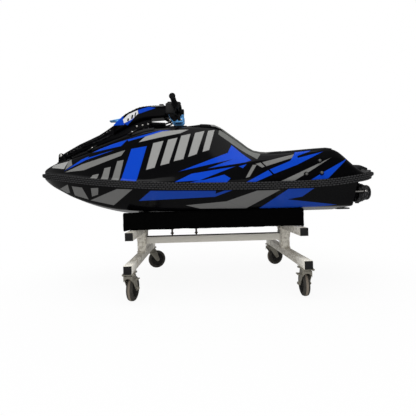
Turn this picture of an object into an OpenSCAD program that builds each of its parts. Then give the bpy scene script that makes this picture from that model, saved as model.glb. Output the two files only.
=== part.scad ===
// Stand-up personal watercraft on a wheeled shop cart.
// +X points to the bow, +Y to port, +Z up; the origin is on the floor under the middle of the craft.

/* [Hull and deck] */
// Length of the mouldings, without the rub rail
hull_len = 1974; // [1800:2:2300]
// Beam of the mouldings, without the rub rail
hull_beam = 680; // [600:5:760]
// Height of the rub rail
rail_h = 38; // [24:1:50]
// How far the rub rail stands out
rail_t = 13; // [8:1:20]
// Thickness of the foam mats
mat_t = 10; // [5:1:16]
// Thickness of the knee pad on the bulkhead and of the chin pad
pad_t = 13; // [8:1:20]
// Distance of the transom behind the middle of the craft
transom_back = 745; // [700:1:780]
// Gap left where two pieces meet
seat_gap = 0.3; // [0.1:0.1:0.6]

/* [Steering pole] */
// Radius of the pole's pivot pin
pin_r = 8; // [6:0.5:10]
// Running clearance of pins and stems
pin_clear = 0.4; // [0.2:0.1:0.6]
// Radius of the handlebar tube
bar_r = 11; // [9:0.5:12.5]
// Radius of the grips
grip_r = 16; // [14:0.5:18]
// Radius of the steering stem
stem_r = 12; // [9:0.5:14]
// Angle that the steering stem leans back
stem_lean = 12; // [0:1:20]

/* [Jet pump] */
// Height of the pump's axis over the keel
pump_z = 97; // [92:1:102]
// Inner radius of the pump housing
pump_r = 62; // [56:1:64]
// Wall of the pump housing
pump_wall = 8; // [5:0.5:9]
// Inner radius of the steering nozzle's outlet
outlet_r = 38; // [34:1:40]
// Wall of the steering nozzle
nozzle_wall = 5; // [3:0.5:6]
// Number of impeller blades
blade_count = 4; // [3:1:5]
// Radius of the drive shaft
shaft_r = 12; // [9:0.5:14]

/* [Engine] */
// Length of the engine block
engine_len = 400; // [300:5:430]
// Width of the engine block
engine_w = 240; // [180:5:256]
// Height of the engine block
engine_h = 300; // [240:5:330]

/* [Cart] */
// Side of the square tube
tube = 40; // [30:1:50]
// Wall of the square tube
tube_wall = 3; // [2:0.5:4]
// Place of the front tubes ahead of the middle
front_x = 411; // [330:1:440]
// Place of the rear tubes behind the middle
rear_x = 452; // [380:1:470]
// Length of the lower cross tubes
lower_len = 800; // [700:5:900]
// Length of the upper cross tubes
upper_len = 700; // [620:5:760]
// Height of the posts
post_h = 113; // [90:1:150]
// Side of the square posts
post_w = 50; // [40:1:60]
// Height of the long beam over the lower tubes
beam_rise = 47; // [45:1:70]
// Width of a bunk
bunk_w = 100; // [80:1:120]
// Height of a bunk at its inner edge
bunk_h = 84; // [60:1:110]
// Distance of the bunks' middle from the centreline
bunk_y = 200; // [180:1:205]
// Length of a bunk
bunk_len = 956; // [940:1:1000]
// Thickness of the plastic tube caps
cap_t = 4; // [3:0.5:6]

/* [Casters] */
// Height of a caster with its plate
caster_h = 150; // [140:1:170]
// Radius of a caster wheel
wheel_r = 62.5; // [50:0.5:64]
// Width of a caster wheel
wheel_w = 32; // [24:1:40]
// How far the wheel trails the swivel
trail = 38; // [32:1:44]
// Thickness of the caster plate
plate_t = 5; // [4:0.5:8]
// Distance of a swivel from the end of its cross tube
swivel_inset = 42; // [38:1:60]
// Radius of the wheel axle
axle_r = 6; // [5:0.5:8]

/* [Hidden] */
$fn = 64;

// Heights of the cart, from the floor up
lower_top = caster_h + tube;
upper_bottom = lower_top + post_h;
upper_top = upper_bottom + tube;
// Rise of the hull's bottom for each millimetre off the centreline
deadrise = 0.1265;
keel_z = upper_top + bunk_h + seat_gap - deadrise * (bunk_y - bunk_w / 2);
// Share of the nominal length and beam that the tables are drawn at
kx = hull_len / 1974;
ky = hull_beam / 680;
transom_x = -transom_back * kx;

// Engine bay: rear end and floor, then room at the engine's sides, behind it, before it and over it
bay_rear = -40;
bay_floor = 57;
engine_side = 8;
engine_back = 90;
engine_ahead = 50;
engine_over = 42;
// Deck left over the bay
bay_skin = 14;
bay_half = engine_w / 2 + engine_side;
bay_front = bay_rear + engine_back + (engine_len + engine_ahead) / kx;

// Sheer line: x, half breadth, height of the rail's middle over the keel
SHEER = [
    [987, 6, 256], [965, 45, 251], [920, 96, 242], [850, 145, 232], [760, 190, 218], [640, 233, 200],
    [500, 273, 184], [340, 306, 169], [160, 328, 158], [-40, 339, 152], [-250, 340, 149], [-450, 336, 150],
    [-600, 330, 156], [-720, 312, 169], [-770, 297, 176], [-815, 266, 183], [-850, 220, 189],
    [-885, 160, 196], [-922, 100, 202], [-955, 50, 206], [-975, 24, 208], [-987, 6, 209]];

// Bottom: x, keel height, chine half breadth, chine height
BOTTOM = [
    [987, 232, 3, 234], [965, 210, 31, 220], [920, 175, 69, 193], [850, 137, 105, 159], [760, 93, 140, 117],
    [640, 50, 172, 78], [500, 18, 200, 47], [340, 4, 225, 35], [160, 1, 240, 33], [-40, 0, 250, 32],
    [-250, 0, 253, 32], [-450, 0, 253, 32], [-987, 1, 249, 32]];

// Deck: x, then y and z of knuckle, shoulder, rim and floor edge, then the height in the middle
DECK = [
    [987, 5, 278, 4, 281, 3, 283, 2, 284, 285],
    [965, 38, 274, 27, 291, 19, 297, 12, 299, 300],
    [920, 88, 267, 56, 307, 40, 314, 22, 319, 321],
    [850, 136, 258, 88, 325, 64, 336, 35, 342, 344],
    [800, 160, 250, 108, 335, 82, 348, 44, 358, 362],
    [790, 165, 249, 112, 334, 106, 334, 96, 334, 334],
    [760, 178, 244, 118, 340, 112, 340, 100, 340, 340],
    [640, 220, 226, 150, 372, 144, 372, 130, 372, 372],
    [500, 260, 210, 178, 414, 172, 414, 158, 414, 414],
    [340, 290, 195, 198, 460, 192, 460, 178, 460, 460],
    [290, 295, 199, 203, 466, 197, 466, 183, 466, 466],
    [280, 296, 200, 205, 468, 188, 482, 118, 498, 516],
    [160, 303, 223, 209, 474, 190, 485, 120, 499, 526],
    [40, 307, 238, 206, 473, 186, 482, 120, 497, 526],
    [-40, 310, 249, 205, 462, 186, 474, 120, 492, 519],
    [-75, 310, 254, 205, 446, 188, 459, 125, 470, 500],
    [-110, 310, 259, 208, 424, 190, 431, 130, 442, 478],
    [-180, 310, 269, 214, 372, 197, 375, 140, 388, 424],
    [-235, 311, 276, 284, 318, 236, 326, 190, 331, 382],
    [-300, 312, 278, 290, 314, 236, 319, 192, 272, 330],
    [-345, 313, 279, 291, 315, 234, 322, 196, 215, 255],
    [-385, 313, 280, 292, 317, 233, 324, 198, 194, 198],
    [-420, 313, 280, 292, 319, 233, 326, 200, 192, 192],
    [-600, 312, 282, 291, 329, 232, 335, 200, 192, 192],
    [-630, 311, 281, 290, 330, 232, 334, 198, 194, 195],
    [-660, 309, 277, 286, 316, 232, 317, 196, 198, 200],
    [-710, 303, 247, 278, 274, 228, 274, 190, 214, 220],
    [-740, 297, 228, 270, 250, 222, 250, 184, 220, 230],
    [-770, 287, 214, 256, 226, 212, 230, 170, 228, 241],
    [-805, 258, 206, 232, 214, 195, 222, 150, 236, 250],
    [-850, 204, 212, 180, 222, 150, 232, 110, 245, 257],
    [-885, 144, 218, 125, 226, 103, 236, 76, 247, 255],
    [-922, 86, 224, 73, 229, 58, 235, 42, 241, 244],
    [-955, 40, 228, 33, 230, 25, 232, 17, 234, 235],
    [-987, 5, 230, 4, 231, 3, 232, 2, 233, 234]];
// Height of the bay's roof over the seam
function bay_roof(x) = min(bay_floor + engine_h + engine_over, curve(DECK, 9, x) - bay_skin)
    - curve(SHEER, 2, x) + rail_h / 2;
// Hollow under the deck: x, half breadth, height of its roof over the seam
HOLLOW = [
    [987, 2, -0.2], [965, 18, 0.5], [bay_front + 2, bay_half / ky, 0.5],
    [bay_front, bay_half / ky, bay_roof(bay_front)], [300, bay_half / ky, bay_roof(300)],
    [bay_rear, bay_half / ky, bay_roof(bay_rear)], [bay_rear - 2, bay_half / ky, 0.5],
    [-515, 76, 0.5], [-517, 76, 40], [-630, 76, 34], [1 - transom_back, 76, 19], [-1 - transom_back, 96, 40],
    [-800, 96, 31], [-860, 90, 22], [-862, 90, 0.5], [-922, 60, 0.5], [-955, 30, 0.5], [-987, 2, -0.2]];
// Ring numbers of the deck's corners on the port side
SHOULDER = 8;
RIM = 11;
FLOOR = 14;
RING = 33;

// Hood: x, half breadth of its edge, height of its crown over the edge
HOOD = [
    [784, 92, 24], [760, 104, 32], [640, 138, 36], [500, 166, 40], [400, 180, 44], [340, 186, 45],
    [296, 188, 44]];
// Height of the hood's edge band, and its gap over the deck
hood_lip = 8;
hood_gap = 1;

// Steering pole ahead of its cover: x, top, bottom, half breadth
POLE = [
    [876, 379, 355, 28], [850, 393, 355, 36], [800, 420, 372, 37], [760, 441, 389, 38], [640, 493, 424, 40],
    [553, 547, 453, 44]];
// Its part under the cover: x, bottom, half breadth
POLE_REAR = [
    [552.6, 453, 44], [535, 459, 44], [486, 475, 46], [438, 491, 46], [390, 507, 46], [335, 523, 44]];
COVER = [
    [552, 548, 490, 50], [535, 564, 500, 52], [486, 605, 524, 55], [438, 629, 548, 56], [390, 648, 568, 56],
    [335, 653, 576, 55], [319, 654, 577, 54], [250, 656, 580, 50], [225, 652, 584, 46]];
// How far the middle of the pole's top stands over its edges
bar_crown = 4;
// Pivot of the pole, foot and turning point of the steering stem
pivot_x = 864 * kx;
pivot_z = 366;
stem_x = 175 * kx;
stem_z = 592;
// Height of the bar's middle along the stem
bar_up = 24;
// Half of the bar's straight middle, and the tip of its grip: forward, out and up from there
bar_half = 130;
grip_tip = [17, 172, 2];

// Jet: places behind the transom of the cone's start and seat, its end, the tube's end and the outlet
cone_start = 75;
cone_seat = cone_start - 4;
cone_end = 115;
throat_end = 166;
outlet_end = 218;
throat_r = 36;
swivel_back = 155;
bell_r = 52;
boss_r = 9;
// Radius of the flange that holds the pump to the transom
flange_r = pump_r + pump_wall + 14;
lever_y = 96;
rod_r = 5;
// How far the steering rod reaches into its guide in the transom, and the depth of that guide
rod_in = 42;
rod_way = 85;
lever_t = 8;
rod_z = pump_z + lever_t / 2 + rod_r + 2 * seat_gap;

// Intake duct: front and rear end, half breadth
duct_front = -200;
duct_rear = -520;
duct_half = 60;

// Casters: along, side, rest angle of the trail
CASTERS = [[front_x, 1, 262], [front_x, -1, 205], [-rear_x, 1, 266], [-rear_x, -1, 205]];
swivel_y = lower_len / 2 - swivel_inset;
race_h = 7;
crown_h = 6.5;
leg_t = 3;
leg_gap = 4;
hub_r = 44;

// Row of table t below which x lies, for tables that run from bow to stern
function row_at(t, x, i = 0) = i >= len(t) - 2 || x >= t[i + 1][0] ? i : row_at(t, x, i + 1);
function secant(t, c, i) = (t[i + 1][c] - t[i][c]) / (t[i + 1][0] - t[i][0]);
// Slope at row i that never overshoots its neighbours
function slope_at(t, c, i) =
    i == 0 ? secant(t, c, 0) :
    i == len(t) - 1 ? secant(t, c, i - 1) :
    let (a = secant(t, c, i - 1), b = secant(t, c, i))
    a * b <= 0 ? 0 : 2 * a * b / (a + b);
// Column c of table t at x, smoothed between the rows
function curve(t, c, x) =
    let (i = row_at(t, x), h = t[i + 1][0] - t[i][0], u = (x - t[i][0]) / h)
    let (p = t[i][c], q = t[i + 1][c], m = slope_at(t, c, i) * h, n = slope_at(t, c, i + 1) * h)
    (2 * u * u * u - 3 * u * u + 1) * p + (u * u * u - 2 * u * u + u) * m
    + (3 * u * u - 2 * u * u * u) * q + (u * u * u - u * u) * n;
// Stations of a table, with more put in where rows lie far apart
function stations(t, step) = concat(
    [for (i = [0 : len(t) - 2])
        let (n = ceil((t[i][0] - t[i + 1][0]) / step))
        for (k = [0 : n - 1]) t[i][0] + (t[i + 1][0] - t[i][0]) * k / n],
    [t[len(t) - 1][0]]);
function between(xs, a, b) = concat([a], [for (x = xs) if (x < a - 2 && x > b + 2) x], [b]);
function reversed(v) = [for (i = [len(v) - 1 : -1 : 0]) v[i]];
// Three points that round the corner q between p and r
function rounded(p, q, r, size) =
    let (a = min(size, 0.45 * norm(p - q)), b = min(size, 0.45 * norm(r - q)))
    let (e = q + (p - q) * a / norm(p - q), f = q + (r - q) * b / norm(r - q))
    [e, (e + 2 * q + f) / 4, f];
function mirrored(side) = [for (p = reversed(side)) [p[0], -p[1], p[2]]];

// Stations of the deck, with those of its hollow put in between
DECK_ROWS = stations(DECK, 45);
DECK_X = concat(
    [for (i = [0 : len(DECK_ROWS) - 2])
        let (a = DECK_ROWS[i], b = DECK_ROWS[i + 1])
        each concat([a], [for (h = HOLLOW) if (h[0] < a && h[0] > b) h[0]])],
    [DECK_ROWS[len(DECK_ROWS) - 1]]);

// Half ring of the deck from the hollow's roof by the seam up to the floor edge, at nominal x
function deck_side(x) =
    let (b = curve(SHEER, 1, x), z = curve(SHEER, 2, x))
    let (c = [for (k = [1 : 9]) curve(DECK, k, x)])
    let (seam = [x, b, z - rail_h / 2], band = [x, b, z + rail_h / 2], mid = [x, 0, c[8]])
    let (w = curve(HOLLOW, 1, x), h = curve(HOLLOW, 2, x), foot = [x, w, seam[2] + min(h, 0) / 2])
    let (k = [x, c[0], c[1]], s = [x, c[2], c[3]], r = [x, c[4], c[5]], f = [x, c[6], c[7]])
    concat([[x, w, seam[2] + h], foot, seam, band], rounded(band, k, s, 12),
        rounded(k, s, r, 14), rounded(s, r, f, 14), rounded(r, f, mid, 24));
function deck_ring(x) = let (s = deck_side(x)) concat(s, [[x, 0, curve(DECK, 9, x)]], mirrored(s));
function bottom_side(x) =
    let (b = curve(SHEER, 1, x), z = curve(SHEER, 2, x) - rail_h / 2 - seat_gap)
    let (k = curve(BOTTOM, 1, x), c = [x, curve(BOTTOM, 2, x), curve(BOTTOM, 3, x)])
    let (e = [x, b, z], m = [x, c[1] / 2, (k + c[2]) / 2])
    concat([e], rounded(e, c, m, 14), [m]);
function bottom_ring(x) = let (s = bottom_side(x)) concat(s, [[x, 0, curve(BOTTOM, 1, x)]], mirrored(s));
function hood_seat(x) = curve(DECK, 9, x) + hood_gap;
function hood_side(x) =
    let (e = curve(HOOD, 1, x), z = hood_seat(x), c = curve(HOOD, 2, x))
    concat([[x, e, z]], [for (a = [0, 18, 38, 58, 76]) [x, e * cos(a), z + hood_lip + c * sin(a)]]);
function hood_ring(x) =
    let (s = hood_side(x))
    concat(s, [[x, 0, hood_seat(x) + hood_lip + curve(HOOD, 2, x)]], mirrored(s));
// Ring of a bar from its top, bottom and half breadth, with its top crowned
function bar_side(x, top, d, w) =
    let (u = top - bar_crown)
    concat(rounded([x, 0, d], [x, w, d], [x, w, u], 8), rounded([x, w, d], [x, w, u], [x, 0, u], 14));
function bar_ring(x, top, d, w) =
    let (s = bar_side(x, top, d, w))
    concat(s, [[x, 0, top]], mirrored(s));
function table_ring(t, x) = bar_ring(x, curve(t, 1, x), curve(t, 2, x), curve(t, 3, x));
function pole_rear_ring(x) =
    bar_ring(x, curve(COVER, 2, min(x, 552)) - seat_gap, curve(POLE_REAR, 1, x), curve(POLE_REAR, 2, x));
// Half breadth of the deck's lower side at height z
function side_y(x, z) =
    let (k = [curve(DECK, 1, x), curve(DECK, 2, x)])
    let (b = [curve(SHEER, 1, x), curve(SHEER, 2, x) + rail_h / 2])
    b[0] + (k[0] - b[0]) * (z - b[1]) / (k[1] - b[1]);
// Half breadth of the tray at height z
function tray_y(x, z) =
    let (r = [curve(DECK, 5, x), curve(DECK, 6, x)], f = [curve(DECK, 7, x), curve(DECK, 8, x)])
    f[0] + (r[0] - f[0]) * (z - f[1]) / (r[1] - f[1]);

function place(p) = [p[0] * kx, p[1] * ky, p[2] + keel_z];

// Solid through closed rings of points that run from bow to stern, each starting at its port end
module loft(rings) {
    n = len(rings[0]);
    m = len(rings);
    half = floor((n - 1) / 2);
    walls = [for (i = [0 : m - 2], j = [0 : n - 1])
        let (a = i * n + j, b = i * n + (j + 1) % n)
        each [[a, a + n, b], [b, a + n, b + n]]];
    front = [for (j = [0 : half - 1])
        each concat([[j, j + 1, n - 1 - j]], j + 1 < n - 2 - j ? [[j + 1, n - 2 - j, n - 1 - j]] : [])];
    back = [for (f = front) [f[0], f[2], f[1]] + [1, 1, 1] * (m - 1) * n];
    polyhedron([for (r = rings, p = r) place(p)], concat(walls, front, back));
}

// Mat that follows the deck between stations a and b and ring points i and j, raised off it by lift
module deck_skin(a, b, i, j, lift, thick) {
    loft([for (x = between(DECK_X, a, b))
        let (r = deck_ring(x), low = [for (k = [i : j]) r[k] + [0, 0, lift]])
        concat(low, [for (p = reversed(low)) p + [0, 0, thick]])]);
}

// Plan outline of the mouldings, port side from bow to stern and back along starboard
function outline() =
    let (port = [for (x = DECK_X) place([x, curve(SHEER, 1, x), curve(SHEER, 2, x)])])
    concat(port, mirrored(port));
function flat(v) = [v[0], v[1]];
function unit(v) = v / norm(v);
// Outward step at point i of outline o that keeps a constant distance
function outward(o, i) =
    let (n = len(o), a = unit(flat(o[i] - o[(i + n - 1) % n])), b = unit(flat(o[(i + 1) % n] - o[i])))
    let (s = unit(a + b)) [s[1], -s[0], 0] / max(0.5, sqrt((1 + a * b) / 2));

module rub_rail() {
    h = rail_h / 2;
    t = rail_t;
    section = [
        [seat_gap, -h], [t - 5, -h], [t - 1, 4 - h], [t, 0], [t - 1, h - 4], [t - 5, h], [seat_gap, h]];
    o = outline();
    n = len(o);
    k = len(section);
    points = [for (i = [0 : n - 1], s = section) o[i] + outward(o, i) * s[0] + [0, 0, s[1]]];
    faces = [for (i = [0 : n - 1], j = [0 : k - 1])
        let (a = i * k + j, b = i * k + (j + 1) % k)
        let (c = ((i + 1) % n) * k + j, d = ((i + 1) % n) * k + (j + 1) % k)
        each [[a, c, b], [b, c, d]]];
    color("#2b2c2e") polyhedron(points, faces);
}

// Tunnel for the pump
module jet_tunnel() {
    translate([transom_x - 1, 0, keel_z + pump_z]) rotate([0, 90, 0])
        cylinder(r = pump_r + pump_wall + seat_gap, h = (duct_rear + transom_back) * kx + 21);
}

// Way for the water from the bottom up to the tunnel
module intake_duct() {
    low = keel_z - 10;
    roof = keel_z + pump_z + pump_r;
    translate([0, duct_half, 0]) rotate([90, 0, 0]) linear_extrude(2 * duct_half)
        polygon([[duct_front * kx, low], [duct_rear * kx, low], [duct_rear * kx, roof - 45],
            [duct_rear * kx + 60, roof - 45], [duct_front * kx, keel_z + 20]]);
}

module hull() {
    color("#1b1c1f") difference() {
        loft([for (x = concat([for (x = DECK_X) if (x > 2 - transom_back) x], [-transom_back]))
            bottom_ring(x)]);
        translate([bay_rear * kx, -bay_half, keel_z + bay_floor])
            cube([(bay_front - bay_rear) * kx, 2 * bay_half, 300]);
        jet_tunnel();
        intake_duct();
        translate([duct_rear * kx, 0, keel_z + pump_z]) rotate([0, 90, 0])
            cylinder(r = shaft_r + 3, h = (bay_rear - duct_rear) * kx + 1);
        translate([transom_x - 1, lever_y, keel_z + rod_z]) rotate([0, 90, 0])
            cylinder(r = rod_r + pin_clear, h = rod_way);
    }
}

module deck() {
    color("#131417") loft([for (x = DECK_X) deck_ring(x)]);
}

module hood() {
    color("#0d0d0f") loft([for (x = between(DECK_X, HOOD[0][0], HOOD[len(HOOD) - 1][0])) hood_ring(x)]);
}

module chin_pad() {
    color("#17181a") deck_skin(40, -75, RIM, RING - 1 - RIM, seat_gap, pad_t);
}

module bulkhead_pad() {
    color("#5a5c5e") deck_skin(-77, -385, RIM, RING - 1 - RIM, seat_gap, pad_t);
}

module tray_mat() {
    color("#26282b") deck_skin(-420, -660, FLOOR, RING - 1 - FLOOR, seat_gap, mat_t);
}

module tail_mat() {
    color("#303336") deck_skin(-710, -955, RIM, RING - 1 - RIM, seat_gap, mat_t);
}

module gunwale_mats() {
    color("#1f2123") {
        deck_skin(-300, -630, SHOULDER, RIM, seat_gap, mat_t / 2);
        deck_skin(-300, -630, RING - 1 - RIM, RING - 1 - SHOULDER, seat_gap, mat_t / 2);
    }
}

module foot_holds() {
    front = -470;
    width = 100;
    low = 296;
    wall_y = min(tray_y(front, low), tray_y(front - width / kx, low)) - seat_gap;
    hook = [
        [wall_y, low], [wall_y, low + 12], [150, low + 12], [126, 288], [126, 236], [136, 236], [136, 284],
        [154, low + 1]];
    color("#1a1b1d") for (s = [-1, 1])
        translate([front * kx, 0, keel_z]) rotate([90, 0, -90])
            linear_extrude(width) polygon([for (p = hook) [-s * p[0] * ky, p[1]]]);
}

module foothold_bolts() {
    washer_r = 12;
    head_r = 7;
    color("#b8babd") for (s = [-1, 1], p = [[-551, 265], [-478, 199], [-555, 203]])
        translate(place([p[0], s * side_y(p[0], p[1]), p[1]])) rotate([-s * 79, 0, 0])
            translate([0, 0, 2 * seat_gap]) {
                cylinder(r = washer_r, h = 3);
                cylinder(r = head_r, h = 8);
            }
}

module pole_bracket() {
    ear_y = 50;
    ear_t = 8;
    color("#151618") {
        deck_skin(885, 825, RIM - 1, RING - RIM, seat_gap, 4);
        for (s = [-1, 1])
            translate([0, s * ear_y + ear_t / 2, keel_z]) rotate([90, 0, 0]) linear_extrude(ear_t) {
                translate([pivot_x, pivot_z]) circle(r = pin_r + 7);
                polygon([[pivot_x - 26, pivot_z - 21], [pivot_x + 18, pivot_z - 37],
                    [pivot_x + pin_r + 7, pivot_z], [pivot_x - pin_r - 7, pivot_z]]);
            }
        translate([pivot_x, ear_y + 10, keel_z + pivot_z]) rotate([90, 0, 0])
            cylinder(r = pin_r, h = 2 * ear_y + 20);
    }
}

module pole() {
    color("#0f1012") difference() {
        loft(concat([for (x = stations(POLE, 60)) table_ring(POLE, x)],
            [pole_rear_ring(POLE_REAR[0][0])],
            [for (x = stations(COVER, 30)) if (x < 551 && x >= 335) pole_rear_ring(x)]));
        translate([pivot_x, 60, keel_z + pivot_z]) rotate([90, 0, 0])
            cylinder(r = pin_r + pin_clear, h = 120);
    }
}

module pole_cover() {
    color("#1a55d8") loft([for (x = stations(COVER, 30)) table_ring(COVER, x)]);
}

module pole_hook() {
    a = curve(COVER, 1, 541) + 0.8;
    b = curve(COVER, 1, 520) + 0.8;
    color("#3f86cf") translate([0, 15, keel_z]) rotate([90, 0, 0]) linear_extrude(30)
        polygon([[584 * kx, a + 10], [584 * kx, a + 17], [520 * kx, b + 9], [520 * kx, b],
            [541 * kx, a], [548 * kx, a + 9]]);
}

module pole_stop() {
    color("#101113") deck_skin(240, 120, FLOOR, RING - 1 - FLOOR, seat_gap, 9);
}

// Things placed on the leaning steering stem, measured along it
module on_stem() {
    translate([stem_x, 0, keel_z + stem_z]) rotate([0, -stem_lean, 0]) children();
}

module steering_tower() {
    plate_y = 38;
    plate_w = 8;
    foot = 545;
    side = [
        [224.5, 598], [224.5, 588], [206, 556], [200, foot], [142, foot], [133, foot + 12], [133, 590],
        [145, 590], [152, 582], [200, 582], [212, 598]];
    color("#6ea5d7") difference() {
        union() {
            for (s = [-1, 1])
                translate([0, s * plate_y + (s + 1) / 2 * plate_w, keel_z]) rotate([90, 0, 0])
                    linear_extrude(plate_w) polygon([for (p = side) [p[0] * kx, p[1]]]);
            translate([stem_x - 22, -plate_y, keel_z + 562]) cube([44, 2 * plate_y, 20]);
            on_stem() translate([0, 0, -34]) cylinder(r = stem_r + 12, h = 32);
        }
        on_stem() translate([0, 0, -60]) cylinder(r = stem_r + pin_clear, h = 80);
    }
}

module bar_clamp() {
    block = 44;
    color("#15161a") on_stem() difference() {
        union() {
            translate([0, 0, -32]) cylinder(r = stem_r, h = 36);
            translate([0, 0, 0.6]) cylinder(r = stem_r + 14, h = 7);
            translate([-block / 2, -block / 2, 7]) cube([block, block, 34]);
        }
        translate([0, block, bar_up]) rotate([90, 0, 0]) cylinder(r = bar_r + 0.05, h = 2 * block);
    }
}

// Frame at the start of the outer part of the bar on side s, with +Z along it
module on_bar_end(s) {
    lean = [0, acos(grip_tip[2] / norm(grip_tip)), atan2(s * grip_tip[1], grip_tip[0])];
    on_stem() translate([0, s * bar_half, bar_up]) rotate(lean) children();
}

module handlebar() {
    color("#1c1d20") {
        on_stem() translate([0, bar_half, bar_up]) rotate([90, 0, 0]) cylinder(r = bar_r, h = 2 * bar_half);
        for (s = [-1, 1]) on_bar_end(s) {
            sphere(r = bar_r + 0.4);
            cylinder(r = bar_r, h = norm(grip_tip));
        }
    }
}

module grips() {
    start = 45;
    color("#101012") for (s = [-1, 1]) on_bar_end(s) difference() {
        union() {
            translate([0, 0, start]) cylinder(r = grip_r + 5, h = 5);
            translate([0, 0, start]) cylinder(r = grip_r, h = norm(grip_tip) - start + 4);
            translate([0, 0, norm(grip_tip)]) cylinder(r = grip_r + 2, h = 4);
        }
        translate([0, 0, start - 1]) cylinder(r = bar_r, h = norm(grip_tip) - start + 1);
    }
}

module throttle_lever() {
    color("#16171a") on_bar_end(-1) difference() {
        union() {
            translate([0, 0, 14]) cylinder(r = bar_r + 7, h = 26);
            translate([-14, 0, 18]) cube([28, 34, 18]);
            translate([-8, 28, 24]) cube([16, 8, 90]);
        }
        translate([0, 0, 0]) cylinder(r = bar_r + 0.05, h = 60);
    }
}

module switch_box() {
    color("#121315") on_bar_end(1) difference() {
        union() {
            translate([0, 0, 12]) cylinder(r = bar_r + 7, h = 28);
            translate([-16, -4, 12]) cube([18, 28, 28]);
        }
        cylinder(r = bar_r + 0.05, h = 60);
    }
}

module pump_housing() {
    w = pump_wall;
    front = transom_back * kx + duct_rear * kx;
    color("#3a3c3f") translate([transom_x, 0, keel_z + pump_z]) rotate([0, -90, 0]) rotate_extrude()
        polygon([[pump_r, -front], [pump_r + w, -front], [pump_r + w, seat_gap], [flange_r, seat_gap],
            [flange_r, 9], [pump_r + w - 8, 12], [pump_r + w - 8, cone_seat], [pump_r - 8, cone_seat],
            [pump_r - 8, 2], [pump_r, -6]]);
}

module jet_cone() {
    w = pump_wall;
    foot = cone_seat + seat_gap;
    boss_top = sqrt(bell_r * bell_r - boss_r * boss_r) - seat_gap;
    color("#3a3c3f") translate([transom_x, 0, keel_z + pump_z]) {
        rotate([0, -90, 0]) rotate_extrude()
            polygon([[pump_r - 8, foot], [pump_r + w - 8, foot], [pump_r + w - 8, cone_start],
                [throat_r, cone_end], [throat_r, throat_end], [throat_r - 4, throat_end],
                [throat_r - 4, cone_end - 2]]);
        for (s = [0, 180]) translate([-swivel_back, 0, 0]) rotate([s, 0, 0])
            translate([0, 0, throat_r - 3]) cylinder(r = boss_r, h = boss_top - throat_r + 3);
    }
}

module steering_nozzle() {
    pin_top = bell_r + nozzle_wall;
    color("#54565a") translate([transom_x, 0, keel_z + pump_z]) {
        rotate([0, -90, 0]) rotate_extrude()
            polygon([[bell_r, swivel_back - 14], [bell_r + nozzle_wall, swivel_back - 14],
                [bell_r + nozzle_wall, swivel_back + 14], [outlet_r + nozzle_wall, outlet_end - 18],
                [outlet_r + nozzle_wall, outlet_end], [outlet_r, outlet_end], [outlet_r, outlet_end - 20],
                [bell_r, swivel_back + 12]]);
        for (s = [-1, 1]) translate([-swivel_back, 0, s * (pin_top + 2)])
            cylinder(r = 11, h = 10, center = true);
        translate([-swivel_back - 12, bell_r, -lever_t / 2]) cube([24, lever_y - bell_r + 12, lever_t]);
    }
}

module steering_rod() {
    color("#c9cbce") translate([transom_x - swivel_back, lever_y, keel_z + rod_z]) {
        translate([0, 0, -rod_r]) cylinder(r = 12, h = 2 * rod_r);
        rotate([0, 90, 0]) cylinder(r = rod_r, h = swivel_back + rod_in);
    }
}

module impeller() {
    mid = -(transom_back + duct_rear) / 2;
    color("#9a9da1") translate([transom_x, 0, keel_z + pump_z]) rotate([0, 90, 0]) {
        translate([0, 0, -mid - 40]) cylinder(r1 = 14, r2 = 24, h = 80);
        translate([0, 0, -mid])
            cylinder(r = shaft_r, h = (bay_rear + engine_back + transom_back) * kx + mid - seat_gap);
        for (i = [0 : blade_count - 1]) rotate(i * 360 / blade_count)
            translate([16, 0, -mid]) rotate([38, 0, 0]) translate([0, -2, -32])
                cube([pump_r - 16 - 6, 4, 64]);
    }
}

module intake_grate() {
    bar_w = 9;
    bars = 4;
    color("#4a4d50") {
        for (i = [0 : bars - 1])
            translate([duct_rear * kx, -duct_half + (i + 0.5) * 2 * duct_half / bars - bar_w / 2, keel_z + 6])
                cube([(duct_front - duct_rear) * kx - 30, bar_w, 10]);
        translate([duct_rear * kx + seat_gap, -duct_half + seat_gap, keel_z + 6])
            cube([26, 2 * duct_half - 2 * seat_gap, 10]);
    }
}

module ride_plate() {
    reach = 70;
    thick = 8;
    color("#2c2e30") translate([transom_x - reach, -80, keel_z + pump_z - flange_r - seat_gap - thick])
        cube([reach - seat_gap, 160, thick]);
}

module hose_fitting() {
    color("#b0713a") translate([transom_x - seat_gap, 120, keel_z + pump_z + 22]) rotate([0, -90, 0]) {
        cylinder(r = 14, h = 6);
        cylinder(r = 9, h = 34);
    }
}

module engine() {
    color("#6f7276") translate([(bay_rear + engine_back) * kx, -engine_w / 2, keel_z + bay_floor + seat_gap])
        cube([engine_len, engine_w, engine_h]);
}

module square_tube(len) {
    difference() {
        translate([-tube / 2, -len / 2, 0]) cube([tube, len, tube]);
        translate([tube_wall - tube / 2, -len / 2 - 1, tube_wall])
            cube([tube - 2 * tube_wall, len + 2, tube - 2 * tube_wall]);
    }
}

module cart_lower_tubes() {
    color("#bdbbb3") for (x = [front_x, -rear_x]) translate([x, 0, caster_h]) square_tube(lower_len);
}

module cart_posts() {
    color("#bdbbb3") for (x = [front_x, -rear_x])
        translate([x - post_w / 2, -post_w / 2, lower_top]) cube([post_w, post_w, post_h]);
}

module cart_upper_tubes() {
    color("#bdbbb3") for (x = [front_x, -rear_x]) translate([x, 0, upper_bottom]) square_tube(upper_len);
}

module cart_beam() {
    flange = 6;
    span = front_x + rear_x - post_w;
    color("#bdbbb3") translate([post_w / 2 - rear_x, 0, lower_top + beam_rise]) {
        translate([0, -tube / 2, 0]) cube([span, tube, tube]);
        for (x = [0, span - flange]) translate([x, -tube, -12]) cube([flange, 2 * tube, tube + 24]);
    }
}

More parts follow.
